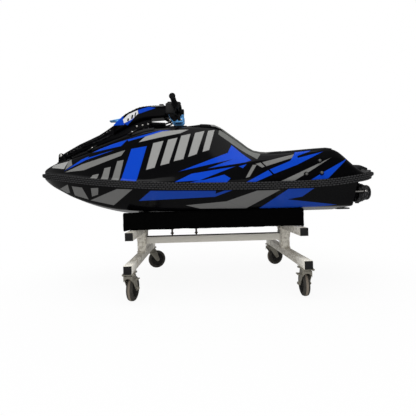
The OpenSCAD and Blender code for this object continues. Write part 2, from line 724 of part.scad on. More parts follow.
module tube_caps() {
    color("#161616") for (x = [front_x, -rear_x], s = [-1, 1]) {
        translate([x - tube / 2, s * (lower_len + cap_t) / 2 - cap_t / 2, caster_h])
            cube([tube, cap_t, tube]);
        translate([x - tube / 2, s * (upper_len + cap_t) / 2 - cap_t / 2, upper_bottom])
            cube([tube, cap_t, tube]);
    }
}

module bunk(s) {
    inner = bunk_y - bunk_w / 2;
    outer = bunk_y + bunk_w / 2;
    top = bunk_h + deadrise * bunk_w;
    outline = [
        [inner, 0], [outer, 0], [outer, top - 12], [outer - 4, top - 4], [outer - 12, top - 12 * deadrise],
        [inner + 10, bunk_h + 10 * deadrise], [inner, bunk_h - 8]];
    color("#0c0c0d") translate([front_x + 54 - bunk_len, 0, upper_top]) rotate([90, 0, 90])
        linear_extrude(bunk_len) polygon([for (p = outline) [s * p[0], p[1]]]);
}

module bunk_left() {
    bunk(1);
}

module bunk_right() {
    bunk(-1);
}

module bunk_bolts() {
    color("#8d8f92") for (s = [-1, 1], x = [210, 80]) translate([x, s * bunk_y, upper_top]) {
        translate([0, 0, -4]) cylinder(r = 11, h = 4);
        translate([0, 0, -18]) cylinder(r = 5, h = 18);
    }
}

module caster_plates() {
    color("#a8abae") for (c = CASTERS) translate([c[0], c[1] * swivel_y, caster_h]) {
        translate([-29, -40, -plate_t]) cube([58, 80, plate_t]);
        translate([0, 0, -plate_t - race_h]) cylinder(r = 26, h = race_h);
    }
}

// Frame of caster i: origin on the floor under its swivel, +X toward the trailing wheel
module on_caster(i) {
    c = CASTERS[i];
    translate([c[0], c[1] * swivel_y, 0]) rotate(c[2]) children();
}

module fork(i) {
    crown = caster_h - plate_t - race_h - seat_gap - crown_h;
    leg_y = wheel_w / 2 + leg_gap;
    color("#b2b5b8") on_caster(i) {
        difference() {
            translate([-26, -leg_y - leg_t, crown]) cube([52, 2 * leg_y + 2 * leg_t, crown_h]);
            translate([0, 0, crown - 1]) cylinder(r = 8, h = crown_h + 2);
        }
        for (s = [-1, 1]) translate([0, s * leg_y + (s + 1) / 2 * leg_t, 0]) rotate([90, 0, 0])
            linear_extrude(leg_t) polygon([[-26, crown + crown_h], [26, crown + crown_h],
                [trail + 14, wheel_r], [trail, wheel_r - 14], [trail - 14, wheel_r - 4], [-26, crown - 6]]);
        translate([trail, leg_y + leg_t + 7, wheel_r]) rotate([90, 0, 0])
            cylinder(r = axle_r, h = 2 * leg_y + 2 * leg_t + 14);
        for (s = [-1, 1]) translate([trail, s * (leg_y + leg_t + 2.5), wheel_r]) rotate([90, 0, 0])
            cylinder(r = axle_r + 4, h = 5, center = true);
    }
}

module tyre(i) {
    w = wheel_w / 2;
    color("#55575a") on_caster(i) translate([trail, 0, wheel_r]) rotate([90, 0, 0]) rotate_extrude()
        polygon([[hub_r, -w], [wheel_r - 6, -w], [wheel_r - 1.5, 5 - w], [wheel_r, 0], [wheel_r - 1.5, w - 5],
            [wheel_r - 6, w], [hub_r, w]]);
}

module hub(i) {
    w = wheel_w / 2;
    color("#c4c6c8") on_caster(i) translate([trail, 0, wheel_r]) rotate([90, 0, 0]) rotate_extrude()
        polygon([[axle_r + pin_clear, -w - 2], [axle_r + 8, -w - 2], [axle_r + 8, 4 - w], [hub_r, 2 - w],
            [hub_r, w - 2], [axle_r + 8, w - 4], [axle_r + 8, w + 2], [axle_r + pin_clear, w + 2]]);
}

module fork_front_left() { fork(0); }
module fork_front_right() { fork(1); }
module fork_rear_left() { fork(2); }
module fork_rear_right() { fork(3); }
module tyre_front_left() { tyre(0); }
module tyre_front_right() { tyre(1); }
module tyre_rear_left() { tyre(2); }
module tyre_rear_right() { tyre(3); }
module hub_front_left() { hub(0); }
module hub_front_right() { hub(1); }
module hub_rear_left() { hub(2); }
module hub_rear_right() { hub(3); }

hull();
deck();
rub_rail();
hood();
chin_pad();
bulkhead_pad();
tray_mat();
tail_mat();
gunwale_mats();
foot_holds();
foothold_bolts();
pole_bracket();
pole();
pole_cover();
pole_hook();
pole_stop();
steering_tower();
bar_clamp();
handlebar();
grips();
throttle_lever();
switch_box();
pump_housing();
jet_cone();
steering_nozzle();
steering_rod();
impeller();
intake_grate();
ride_plate();
hose_fitting();
engine();
cart_lower_tubes();
cart_posts();
cart_upper_tubes();
cart_beam();
tube_caps();
bunk_left();
bunk_right();
bunk_bolts();
caster_plates();
fork_front_left();
fork_front_right();
fork_rear_left();
fork_rear_right();
tyre_front_left();
tyre_front_right();
tyre_rear_left();
tyre_rear_right();
hub_front_left();
hub_front_right();
hub_rear_left();
hub_rear_right();
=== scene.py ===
"""Finishes, soft pieces, trim and stage for a stand-up personal watercraft on its wheeled cart.

+X is the bow, +Y port and +Z up, in metres.
"""

import math
from contextlib import contextmanager
from functools import cache

import bpy
from bpy.props import FloatProperty, FloatVectorProperty, IntProperty, PointerProperty
from mathutils import Matrix, Vector, noise
from mathutils.bvhtree import BVHTree


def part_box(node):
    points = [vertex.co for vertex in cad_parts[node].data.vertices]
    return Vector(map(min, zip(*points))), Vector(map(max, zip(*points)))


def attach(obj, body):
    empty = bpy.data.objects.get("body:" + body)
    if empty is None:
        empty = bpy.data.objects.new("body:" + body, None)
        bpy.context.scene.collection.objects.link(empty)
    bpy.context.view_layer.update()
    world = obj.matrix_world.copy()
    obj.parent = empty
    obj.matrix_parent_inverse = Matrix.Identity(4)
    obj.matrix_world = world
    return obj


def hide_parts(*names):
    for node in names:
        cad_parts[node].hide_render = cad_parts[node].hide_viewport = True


bl_info = {
    "name": "Stand-up watercraft dresser",
    "version": (1, 0, 0),
    "blender": (4, 5, 0),
    "location": "View3D > Sidebar > Craft",
    "description": "Gives a stand-up watercraft and its cart their finishes, soft pieces, trim and stage",
    "category": "Object",
}

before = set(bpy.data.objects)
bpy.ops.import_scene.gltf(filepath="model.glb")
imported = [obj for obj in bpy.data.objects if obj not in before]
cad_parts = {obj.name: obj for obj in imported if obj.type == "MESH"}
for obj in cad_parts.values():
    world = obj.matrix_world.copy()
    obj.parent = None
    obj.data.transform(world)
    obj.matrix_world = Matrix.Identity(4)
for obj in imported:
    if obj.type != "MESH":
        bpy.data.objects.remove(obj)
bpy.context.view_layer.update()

MM = 0.001
MERGE = 1e-5
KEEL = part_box("hull")[0].z

ROOT = "craft_and_cart"
POLE_ARM = "pole_arm"
BARS = "bars"
# Each caster's turn at rest, in degrees round the vertical, as its wheel trails, and its brake pedal's side
CASTERS = (("front_left", 262, -1), ("front_right", 205, -1), ("rear_left", 266, 1), ("rear_right", 205, 1))

# Corners of a cut mat that lie closer than this are merged
MAT_JOIN = 0.0012

# Profiles of a wheel: radius and place along its axle, in metres
TYRE_PROFILE = (
    (0.044, -0.0155), (0.050, -0.0160), (0.055, -0.0152), (0.0592, -0.0128), (0.0610, -0.0090),
    (0.0618, -0.0060), (0.0618, 0.0060), (0.0610, 0.0090), (0.0592, 0.0128), (0.055, 0.0152),
    (0.050, 0.0160), (0.044, 0.0155), (0.044, -0.0155))
TREAD_PROFILE = (
    (0.0600, -0.0062), (0.0621, -0.0052), (0.0625, -0.0020), (0.0625, 0.0020), (0.0621, 0.0052),
    (0.0600, 0.0062), (0.0600, -0.0062))
HUB_PROFILE = (
    (0.0070, -0.0180), (0.0135, -0.0180), (0.0145, -0.0120), (0.0180, -0.0075), (0.0360, -0.0065),
    (0.0400, -0.0110), (0.0438, -0.0135), (0.0438, 0.0135), (0.0400, 0.0110), (0.0360, 0.0065),
    (0.0180, 0.0075), (0.0145, 0.0120), (0.0135, 0.0180), (0.0070, 0.0180), (0.0070, -0.0180))
# Skirt between a fork's legs: places across it and up, in metres
SKIRT_OUTLINE = (
    (-0.023, 0), (-0.023, -0.030), (-0.019, -0.022), (-0.010, -0.014), (0, -0.012),
    (0.010, -0.014), (0.019, -0.022), (0.023, -0.030), (0.023, 0))

# Stripes of the deck's wrap: paint, then corners as millimetres ahead of the middle and over the keel
DECK_STRIPES = (
    ("blue", (645, 365), (575, 395), (440, 425), (475, 390)),
    ("blue", (440, 425), (260, 465), (205, 465), (435, 415)),
    ("blue", (805, 270), (710, 330), (665, 345), (680, 325)),
    ("blue", (665, 345), (540, 365), (495, 375), (680, 325)),
    ("grey", (800, 260), (705, 300), (625, 320), (685, 265)),
    ("grey", (625, 320), (450, 365), (470, 335), (685, 265)),
    ("grey", (640, 210), (600, 200), (590, 240), (625, 235)),
    ("grey", (575, 200), (535, 195), (525, 275), (560, 270)),
    ("grey", (515, 195), (475, 190), (455, 310), (490, 305)),
    ("blue", (465, 190), (380, 190), (330, 380), (415, 370)),
    ("pale", (330, 250), (285, 260), (240, 405), (295, 395)),
    ("pale", (255, 270), (210, 280), (165, 420), (215, 410)),
    ("pale", (185, 290), (135, 300), (95, 440), (145, 430)),
    ("pale", (110, 310), (65, 325), (20, 455), (70, 445)),
    ("pale", (35, 335), (0, 345), (-35, 460), (0, 455)),
    ("pale", (375, 405), (340, 435), (245, 460), (150, 445)),
    ("pale", (245, 460), (150, 465), (105, 465), (150, 445)),
    ("blue", (155, 235), (-95, 325), (-125, 300), (-120, 290)),
    ("blue", (-95, 325), (-120, 370), (-210, 280), (-120, 290)),
    ("blue", (10, 245), (-120, 290), (-210, 280), (-180, 270)),
    ("blue", (180, 180), (95, 220), (-125, 250), (55, 185)),
    ("blue", (180, 180), (55, 185), (-70, 210), (-80, 165)),
    ("blue", (55, 180), (-70, 210), (-100, 190), (-80, 170)),
    ("blue", (-145, 250), (-185, 260), (-165, 240), (-155, 245)),
    ("grey", (-175, 190), (-215, 255), (-235, 255), (-195, 195)),
    ("grey", (-230, 260), (-430, 305), (-415, 285), (-260, 240)),
    ("blue", (-170, 165), (-300, 230), (-315, 205), (-215, 165)),
    ("blue", (-300, 230), (-405, 270), (-440, 250), (-315, 205)),
    ("blue", (-405, 270), (-440, 320), (-445, 285), (-440, 250)),
    ("blue", (-440, 250), (-445, 285), (-515, 300), (-580, 315)),
    ("blue", (-440, 315), (-535, 325), (-505, 315), (-445, 285)),
    ("grey", (-330, 160), (-635, 290), (-500, 215), (-415, 165)),
    ("blue", (-490, 165), (-570, 210), (-700, 275), (-580, 170)),
    ("silver", (915, 295), (905, 310), (795, 325), (815, 280)),
    ("grey", (795, 325), (780, 335), (765, 300), (805, 275)),
    ("foam", (-62, 470), (-262, 312), (-240, 284), (-54, 434)),
    # Painted shade: a black band over the wrap, for the shade in the gap that runs down from the bulkhead to
    # the rail
    ("black", (-240, 284), (-250, 284), (-358, 160), (-347, 160)),
)
# Stripes of the hull's wrap, as on the deck; its shaded blue is the wrap's blue with painted shade
HULL_STRIPES = (
    ("dim", (850, 170), (780, 190), (780, 145), (805, 145)),
    ("dim", (755, 180), (690, 170), (665, 105), (750, 130)),
    ("dim", (635, 165), (590, 165), (600, 130), (640, 120)),
    ("dim", (655, 100), (485, 155), (400, 150), (520, 70)),
    ("shaded_blue", (375, 90), (305, 140), (-25, 130), (-20, 100)),
    ("shaded_blue", (-5, 110), (-70, 130), (-105, 130), (-20, 100)),
    ("dim", (-80, 75), (-230, 125), (-345, 125), (-185, 35)),
    ("dim", (130, 60), (-80, 75), (-185, 35), (55, 40)),
    ("shaded_blue", (-254, 33), (-386, 129), (-386, 80), (-386, 26)),
    ("shaded_blue", (-385, 129), (-516, 129), (-465, 88), (-384, 75)),
    ("shaded_blue", (-384, 77), (-658, 40), (-482, 23), (-384, 26)),
)
# Stripes of the pole cover, as on the deck
COVER_STRIPES = (
    ("blue", (560, 536), (555, 565), (494, 612), (486, 538)),
    ("blue", (488, 548), (468, 534), (424, 580), (440, 572)),
    ("white", (488, 547), (494, 570), (459, 600), (438, 570)),
    ("white", (438, 570), (459, 600), (405, 622), (402, 602)),
    ("blue", (405, 622), (340, 640), (300, 632), (398, 600)),
    ("grey", (335, 650), (255, 650), (255, 644), (325, 641)),
    ("black", (470, 562), (464, 578), (456, 572), (462, 556)),
    ("black", (446, 572), (440, 596), (431, 594), (437, 570)),
    ("black", (426, 584), (420, 608), (413, 608), (419, 586)),
)


def srgb(red, green, blue):
    """Linear colour of 8-bit screen values."""
    def linear(value):
        value /= 255
        return value / 12.92 if value <= 0.04045 else ((value + 0.055) / 1.055) ** 2.4
    return (linear(red), linear(green), linear(blue), 1.0)


def colour(label, words, *screen):
    """A colour property whose default is given in 8-bit screen values."""
    return FloatVectorProperty(name=label, description=words, subtype="COLOR", size=4, min=0, max=1,
                               default=srgb(*screen))


class CraftColours(bpy.types.PropertyGroup):
    """Paints and wraps of the craft and its cart."""
    black: colour("Black", "Gloss black of the mouldings", 4, 4, 5)
    blue: colour("Blue", "Blue of the wrap", 12, 66, 188)
    # Painted shade: a darker copy of the wrap's blue, for the hull's side under the rail, which lies in shade
    shaded_blue: colour("Shaded blue", "Blue of the wrap under the rail", 20, 60, 152)
    dim: colour("Dim grey", "Grey of the wrap under the rail", 104, 104, 103)
    grey: colour("Grey", "Grey of the wrap's lower bars", 118, 118, 116)
    pale: colour("Pale grey", "Grey of the wrap's upper bars", 148, 148, 146)
    silver: colour("Silver", "Silver of the bow panel", 158, 158, 156)
    white: colour("White", "White of the pole cover's panel", 225, 225, 226)
    anodised: colour("Anodised blue", "Light blue of the machined pieces", 92, 152, 206)
    cart: colour("Cart paint", "Off-white paint of the cart", 228, 224, 213)
    foam: colour("Knee pad foam", "Grey of the knee pad", 104, 105, 102)


def metres(label, words, default, low, high):
    """A length property, in metres."""
    return FloatProperty(name=label, description=words, default=default, min=low, max=high, unit="LENGTH")


def amount(label, words, default):
    """A plain number property."""
    return FloatProperty(name=label, description=words, default=default)


class CraftSizes(bpy.types.PropertyGroup):
    """Sizes of the trim that stands on the craft."""
    weave_pitch: metres("Weave pitch", "Length of one block of the rub rail's weave", 0.020, 0.01, 0.04)
    weave_rise: metres("Weave rise", "How far a block stands out of the rub rail", 0.0018, 0.0005, 0.004)
    weave_rows: IntProperty(name="Weave rows", description="Rows of blocks on the rub rail",
                            default=4, min=2, max=6)
    rib_pitch: metres("Rib pitch", "Distance of the ribs of the knee pad", 0.011, 0.006, 0.03)
    sleeve_length: metres("Sleeve length", "Length of the sleeves on the cart's lower tubes", 0.110, 0.05, 0.2)
    carpet_voxel: metres("Carpet grid", "Mesh size of the carpet on the bunks", 0.006, 0.004, 0.012)
    mat_pitch: metres("Mat pitch", "Distance of the grooves of the foam mats", 0.018, 0.01, 0.04)


class StageSettings(bpy.types.PropertyGroup):
    """Camera, light and floor."""
    lens: amount("Lens", "Focal length of the camera in millimetres", 26.308)
    eye: FloatVectorProperty(name="Eye", description="Place of the camera", subtype="TRANSLATION",
                             unit="LENGTH", default=(0.068, 1.847, 0.520))
    turn: FloatVectorProperty(name="Turn", description="Turn of the camera", subtype="EULER",
                              default=(math.radians(90), math.radians(1.7), math.radians(180)))
    shift: FloatVectorProperty(name="Shift", size=2, default=(0.0255, -0.0312),
                               description="Shift of the picture's middle, as shares of its width")
    ambient: amount("Ambient", "Strength of the light from all around", 0.55)
    mirrored: amount("Mirrored", "Strength of the surroundings in reflections", 0.32)
    shadow: amount("Shadow", "Share of the floor's look that its shadow takes", 0.07)


def colours():
    return bpy.context.scene.craft_colours


def sizes():
    return bpy.context.scene.craft_sizes


# Modelling helpers

def pick(piece=None):
    """Leaves only this piece, or nothing, selected, in object mode."""
    if bpy.context.object and bpy.context.object.mode != "OBJECT":
        bpy.ops.object.mode_set(mode="OBJECT")
    bpy.ops.object.select_all(action="DESELECT")
    if piece:
        piece.select_set(True)
        bpy.context.view_layer.objects.active = piece


@contextmanager
def editing(piece, select="SELECT", mode="VERT"):
    """Edit mode on one piece, with all or nothing of it selected."""
    pick(piece)
    bpy.ops.object.mode_set(mode="EDIT")
    bpy.ops.mesh.select_mode(type=mode)
    bpy.ops.mesh.select_all(action=select)
    yield piece
    bpy.ops.object.mode_set(mode="OBJECT")


def shape(piece, kind, **settings):
    """Adds a modifier with these settings and applies it."""
    pick(piece)
    added = piece.modifiers.new(kind.title(), kind)
    for name, value in settings.items():
        setattr(added, name, value)
    bpy.ops.object.modifier_apply(modifier=added.name)
    return piece


def bevel(piece, width, segments=2, angle=40):
    return shape(piece, "BEVEL", width=width, segments=segments, limit_method="ANGLE",
                 angle_limit=math.radians(angle), harden_normals=False)


def subdivide(piece, levels):
    return shape(piece, "SUBSURF", levels=levels, render_levels=levels)


def smooth(piece, angle=40):
    pick(piece)
    bpy.ops.object.shade_smooth_by_angle(angle=math.radians(angle))
    return piece


def node_copy(node, name):
    """A copy of a CAD node's mesh, its loose triangles merged and joined to quads."""
    piece = bpy.data.objects.new(name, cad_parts[node].data.copy())
    bpy.context.scene.collection.objects.link(piece)
    piece.data.materials.clear()
    pick(piece)
    if piece.data.has_custom_normals:
        bpy.ops.mesh.customdata_custom_splitnormals_clear()
    with editing(piece):
        bpy.ops.mesh.remove_doubles(threshold=MERGE)
        bpy.ops.mesh.tris_convert_to_quads(face_threshold=math.radians(50), shape_threshold=math.radians(60))
    return piece


def crease(piece, angle, value):
    """Keeps edges sharper than this angle through a subdivision."""
    with editing(piece, "DESELECT", "EDGE"):
        bpy.ops.mesh.edges_select_sharp(sharpness=math.radians(angle))
        bpy.ops.transform.edge_crease(value=value)


def crease_along(piece):
    """Creases the edges that run along the craft, so that a subdivision smooths it only along its length."""
    mesh = piece.data
    creases = mesh.attributes.new("crease_edge", "FLOAT", "EDGE")
    for edge in mesh.edges:
        way = mesh.vertices[edge.vertices[1]].co - mesh.vertices[edge.vertices[0]].co
        creases.data[edge.index].value = 1.0 if abs(way.x) > 0.6 * way.length else 0.0


def spaced(low, high, step):
    """Even places from low to high, about a step apart."""
    count = max(1, round((high - low) / step))
    return [low + (high - low) * i / count for i in range(count + 1)]


def cut_rows(piece, way, places, weld=MERGE):
    """Cuts a piece across a direction at these places along it."""
    with editing(piece):
        for place in places:
            bpy.ops.mesh.select_all(action="SELECT")
            bpy.ops.mesh.bisect(plane_co=Vector(way) * place, plane_no=way)
        bpy.ops.mesh.select_all(action="SELECT")
        bpy.ops.mesh.remove_doubles(threshold=weld)


def press_rows(piece, way, places, depth):
    """Presses every second cut of a piece's upper side in, which leaves rounded ribs."""
    grooves, on_cut = places[1::2], 0.0004
    for corner in piece.data.vertices:
        along = Vector(way).dot(corner.co)
        if corner.normal.z > 0.25 and min(abs(along - g) for g in grooves) < on_cut:
            corner.co -= corner.normal * depth


def crown(piece, rise, half):
    """Lifts the middle of a pad's upper side."""
    for corner in piece.data.vertices:
        if corner.normal.z > 0.3:
            corner.co.z += rise * max(0.0, 1 - (corner.co.y / half) ** 2)


def raise_tiles(piece, groove, rise):
    """Insets each upper face of a mat and raises it, so that grooves stay between the tiles."""
    least_area = 2.5e-5
    with editing(piece, "DESELECT", "FACE"):
        bpy.ops.object.mode_set(mode="OBJECT")
        for face in piece.data.polygons:
            face.select = face.normal.z > 0.5 and face.area > least_area
        bpy.ops.object.mode_set(mode="EDIT")
        bpy.ops.mesh.inset(thickness=groove, depth=rise, use_individual=True)


def feather(piece, run, drop):
    """Thins a mat's upper side out towards its ends."""
    low = min(c.co.x for c in piece.data.vertices)
    high = max(c.co.x for c in piece.data.vertices)
    for corner in piece.data.vertices:
        if corner.normal.z > 0.2:
            corner.co.z -= drop * max(0.0, 1 - min(corner.co.x - low, high - corner.co.x) / run)


def middle_of(points):
    return sum(points, Vector()) / len(points)


def bolt_tops(mesh):
    """Middle and direction of the outer end of each separate bolt of a mesh, to port or to starboard."""
    apart, flush = 0.03, 0.0005
    groups = []
    for face in mesh.polygons:
        if abs(face.normal.y) < 0.9:
            continue
        spot = face.center.copy(), face.normal.copy()
        near = [group for group in groups if (group[0][0] - spot[0]).length < apart]
        if near:
            near[0].append(spot)
        else:
            groups.append([spot])
    ends = []
    for group in groups:
        reach = max(normal.dot(centre) for centre, normal in group)
        outer = [(c, n) for c, n in group if n.y * c.y > 0 and n.dot(c) > reach - flush]
        if outer:
            ends.append((middle_of([c for c, _ in outer]), outer[0][1]))
    return ends


@cache
def tree_of(mesh_name):
    """Search tree of a mesh, for lines that are cast at it."""
    mesh = bpy.data.meshes[mesh_name]
    return BVHTree.FromPolygons([v.co for v in mesh.vertices], [f.vertices for f in mesh.polygons])


def touch(mesh, start, way):
    """Point and normal where a straight line first meets a mesh."""
    point, normal, _, _ = tree_of(mesh.name).ray_cast(Vector(start), Vector(way))
    if point is None:
        raise RuntimeError(f"nothing lies on the line from {tuple(start)}")
    return point, normal


def on_craft(x, y, z):
    """Point of the craft from millimetres ahead of the middle, to port and over the keel."""
    return Vector((x, y, z)) * MM + Vector((0, 0, KEEL))


def dress(piece, material, body, slot, *nodes):
    """Gives a piece its finish and the body it rides on; nodes are those that it stands for."""
    pick(piece)
    bpy.ops.object.transform_apply(location=True, rotation=True, scale=True)
    piece.data.materials.clear()
    piece.data.materials.append(material)
    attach(piece, body)
    if nodes:
        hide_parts(*nodes)
    return piece


def block(name, low, high, round_to=0.0, segments=2):
    """A box between two corners, with its edges rounded."""
    pick()
    low, high = Vector(low), Vector(high)
    bpy.ops.mesh.primitive_cube_add(size=1, location=(low + high) / 2)
    piece = bpy.context.object
    piece.name = name
    piece.scale = high - low
    bpy.ops.object.transform_apply(location=True, rotation=True, scale=True)
    if round_to:
        bevel(piece, round_to, segments)
    return piece


def aim(direction, place=(0, 0, 0)):
    """Matrix that turns +Z to a direction and moves the origin to a place."""
    turn = Vector(direction).to_track_quat("Z", "Y").to_matrix().to_4x4()
    return Matrix.Translation(place) @ turn


def settle(piece, matrix):
    """Moves a piece's mesh by a matrix and leaves its object at the origin."""
    piece.data.transform(matrix)
    return piece


def line(name, points):
    """A chain of edges through points, drawn by extruding one corner of a plane."""
    pick()
    bpy.ops.mesh.primitive_plane_add(size=1, location=(0, 0, 0))
    piece = bpy.context.object
    piece.name = name
    with editing(piece):
        bpy.ops.mesh.merge(type="CENTER")
        bpy.ops.transform.translate(value=points[0])
        for a, b in zip(points, points[1:]):
            bpy.ops.mesh.extrude_region_move(TRANSFORM_OT_translate={"value": Vector(b) - Vector(a)})
    return piece


def lathe(name, profile, steps=48):
    """A profile of radius and height spun round the Z axis."""
    piece = line(name, [(r, 0, z) for r, z in profile])
    with editing(piece):
        bpy.ops.mesh.spin(steps=steps, angle=math.tau, center=(0, 0, 0), axis=(0, 0, 1))
        bpy.ops.mesh.select_all(action="SELECT")
        bpy.ops.mesh.remove_doubles(threshold=MERGE)
        bpy.ops.mesh.normals_make_consistent(inside=False)
    return piece


def dome(name, radius, height, sides=16):
    """A low head, round or with flats, that stands on the origin along +Z."""
    profile = [(0, 0), (radius, 0), (radius, 0.45 * height), (0.72 * radius, 0.9 * height), (0, height)]
    return lathe(name, profile, sides)


def band(name, inner, outer, foot, top, sides):
    """A ring round the Z axis that narrows outwards; foot and top are half its widths inside and outside."""
    return lathe(name, [(inner, -foot), (outer, -top), (outer, top), (inner, foot), (inner, -foot)], sides)


def slab(name, outline, depth):
    """A flat plate: an outline of x and y, drawn out along +Z."""
    piece = line(name, [(x, y, 0) for x, y in outline])
    with editing(piece):
        bpy.ops.mesh.edge_face_add()
        bpy.ops.mesh.extrude_region_move(TRANSFORM_OT_translate={"value": (0, 0, depth)})
        bpy.ops.mesh.select_all(action="SELECT")
        bpy.ops.mesh.normals_make_consistent(inside=False)
    return piece


def rod(name, start, end, radius, sides=24, round_to=0.0):
    """A round bar between two points, with its ends rounded."""
    pick()
    start, end = Vector(start), Vector(end)
    bpy.ops.mesh.primitive_cylinder_add(vertices=sides, radius=radius, depth=(end - start).length)
    piece = bpy.context.object
    piece.name = name
    if round_to:
        bevel(piece, round_to, 2)
    return settle(piece, aim(end - start, (start + end) / 2))


def scatter(name, template, places):
    """One piece with a copy of the template at each place; the template goes."""
    corners = [v.co.copy() for v in template.data.vertices]
    loops = [tuple(f.vertices) for f in template.data.polygons]
    points, faces = [], []
    for place in places:
        start = len(points)
        points += [place @ c for c in corners]
        faces += [[start + i for i in loop] for loop in loops]
    mesh = bpy.data.meshes.new(name)
    mesh.from_pydata(points, [], faces)
    piece = bpy.data.objects.new(name, mesh)
    bpy.context.scene.collection.objects.link(piece)
    bpy.data.objects.remove(template)
    return piece


def join(name, pieces):
    """One piece made of several."""
    pick(pieces[0])
    for piece in pieces:
        piece.select_set(True)
    bpy.ops.object.join()
    piece = bpy.context.object
    piece.name = name
    return piece


# Shader helpers

class Nodes:
    """Writes nodes into one tree."""

    def __init__(self, tree):
        self.tree = tree

    def feed(self, socket, value):
        """Links a socket to another one, or sets its constant value."""
        if isinstance(value, bpy.types.NodeSocket):
            self.tree.links.new(value, socket)
        else:
            socket.default_value = value

    def add(self, kind, sockets=None, **settings):
        node = self.tree.nodes.new(kind)
        for name, value in settings.items():
            setattr(node, name, value)
        for key, value in (sockets or {}).items():
            self.feed(node.inputs[key], value)
        return node

    def math(self, operation, a, b=0.0, clamp=False):
        return self.add("ShaderNodeMath", {0: a, 1: b}, operation=operation, use_clamp=clamp).outputs[0]

    def dot(self, a, b):
        return self.add("ShaderNodeVectorMath", {0: a, 1: b}, operation="DOT_PRODUCT").outputs["Value"]

    def mix(self, factor, a, b):
        return self.add("ShaderNodeMix", {0: factor, 6: a, 7: b}, data_type="RGBA").outputs[2]

    def span(self, value, low, high, to_low=0.0, to_high=1.0):
        return self.add("ShaderNodeMapRange", {"Value": value, "From Min": low, "From Max": high,
                                               "To Min": to_low, "To Max": to_high}).outputs["Result"]

    def noise(self, place, scale, detail=3.0, roughness=0.5):
        return self.add("ShaderNodeTexNoise", {"Vector": place, "Scale": scale, "Detail": detail,
                                               "Roughness": roughness}).outputs["Fac"]

    def group(self, tree, **sockets):
        node = self.add("ShaderNodeGroup", node_tree=tree)
        for name, value in sockets.items():
            self.feed(node.inputs[name.replace("_", " ").title()], value)
        return node

    def bump(self, height, strength, distance):
        return self.add("ShaderNodeBump", {"Height": height, "Strength": strength,
                                           "Distance": distance}).outputs["Normal"]

    def object_place(self):
        return self.add("ShaderNodeTexCoord").outputs["Object"]


def group_tree(name, inputs, outputs):
    """A new shader node group with named sockets, and its input and output nodes."""
    tree = bpy.data.node_groups.new(name, "ShaderNodeTree")
    for label, kind in inputs:
        tree.interface.new_socket(name=label, in_out="INPUT", socket_type="NodeSocket" + kind)
    for label, kind in outputs:
        tree.interface.new_socket(name=label, in_out="OUTPUT", socket_type="NodeSocket" + kind)
    nodes = Nodes(tree)
    return tree, nodes, nodes.add("NodeGroupInput").outputs, nodes.add("NodeGroupOutput")


@cache
def stripe_group():
    """Lays one convex stripe of paint over the colour below it."""
    edges = ("Edge A", "Edge B", "Edge C", "Edge D")
    inputs = [("Below", "Color"), ("Paint", "Color"), ("Place", "Vector")] + [(e, "Vector") for e in edges]
    tree, n, given, out = group_tree("Stripe", inputs, [("Colour", "Color")])
    inside = [n.dot(given["Place"], given[e]) for e in edges]
    least = n.math("MINIMUM", n.math("MINIMUM", *inside[:2]), n.math("MINIMUM", *inside[2:]))
    print_edge = 0.0008
    mask = n.span(least, -print_edge, print_edge)
    tree.links.new(n.mix(mask, given["Below"], given["Paint"]), out.inputs[0])
    return tree


@cache
def grain_group():
    """Fine and coarse unevenness of a moulded or cast surface, as a height."""
    tree, n, given, out = group_tree("Grain", [("Place", "Vector"), ("Fine", "Float"), ("Coarse", "Float")],
                                     [("Height", "Float")])
    fine = n.noise(given["Place"], given["Fine"], 2.0)
    coarse = n.noise(given["Place"], given["Coarse"], 3.0)
    tree.links.new(n.math("ADD", fine, coarse), out.inputs[0])
    return tree


@cache
def soil_group():
    """Uneven film of dust and handling marks, as a mask that is mostly low."""
    tree, n, given, out = group_tree("Soil", [("Place", "Vector"), ("Scale", "Float"), ("Cover", "Float")],
                                     [("Mask", "Float")])
    broad = n.noise(given["Place"], given["Scale"], 5.0, 0.6)
    speck = n.noise(given["Place"], n.math("MULTIPLY", given["Scale"], 14.0), 3.0, 0.6)
    low = n.math("SUBTRACT", 0.72, n.math("MULTIPLY", given["Cover"], 0.3))
    film = n.span(broad, low, n.math("ADD", low, 0.2))
    dots = n.span(speck, 0.6, 0.72)
    specks = n.math("MULTIPLY", dots, given["Cover"])
    tree.links.new(n.math("MAXIMUM", film, specks, clamp=True), out.inputs[0])
    return tree


@cache
def wear_group():
    """Rubbed edges, broken up by noise, as a mask."""
    inputs = [("Place", "Vector"), ("Scale", "Float"), ("Amount", "Float")]
    tree, n, given, out = group_tree("Edge Wear", inputs, [("Mask", "Float")])
    edge = n.add("ShaderNodeNewGeometry").outputs["Pointiness"]
    rubbed = n.span(edge, 0.52, 0.58)
    broken = n.span(n.noise(given["Place"], given["Scale"], 4.0, 0.65), 0.45, 0.6)
    worn = n.math("MULTIPLY", n.math("MULTIPLY", rubbed, broken), given["Amount"], clamp=True)
    tree.links.new(worn, out.inputs[0])
    return tree


def new_material(name):
    """An empty material with a Principled surface, its node writer and its place on the object."""
    material = bpy.data.materials.new(name)
    material.use_nodes = True
    n = Nodes(material.node_tree)
    surface = material.node_tree.nodes["Principled BSDF"]
    return material, n, surface, n.object_place()


def link(n, surface, **sockets):
    """Sets or links sockets of the Principled surface by name."""
    for name, value in sockets.items():
        n.feed(surface.inputs[name.replace("_", " ")], value)


def stripe_edges(corners):
    """Half planes of a convex stripe: a point lies inside where each is positive."""
    points = [Vector((x, z)) * MM for x, z in corners]
    after, beyond = points[1:] + points[:1], points[2:] + points[:2]
    turn = sum((b - a).cross(c - b) for a, b, c in zip(points, after, beyond))
    if turn < 0:
        points.reverse()
    edges = []
    for a, b in zip(points, points[1:] + points[:1]):
        normal = Vector((a.y - b.y, b.x - a.x)).normalized()
        edges.append((normal.x, normal.y, -normal.dot(a)))
    return edges


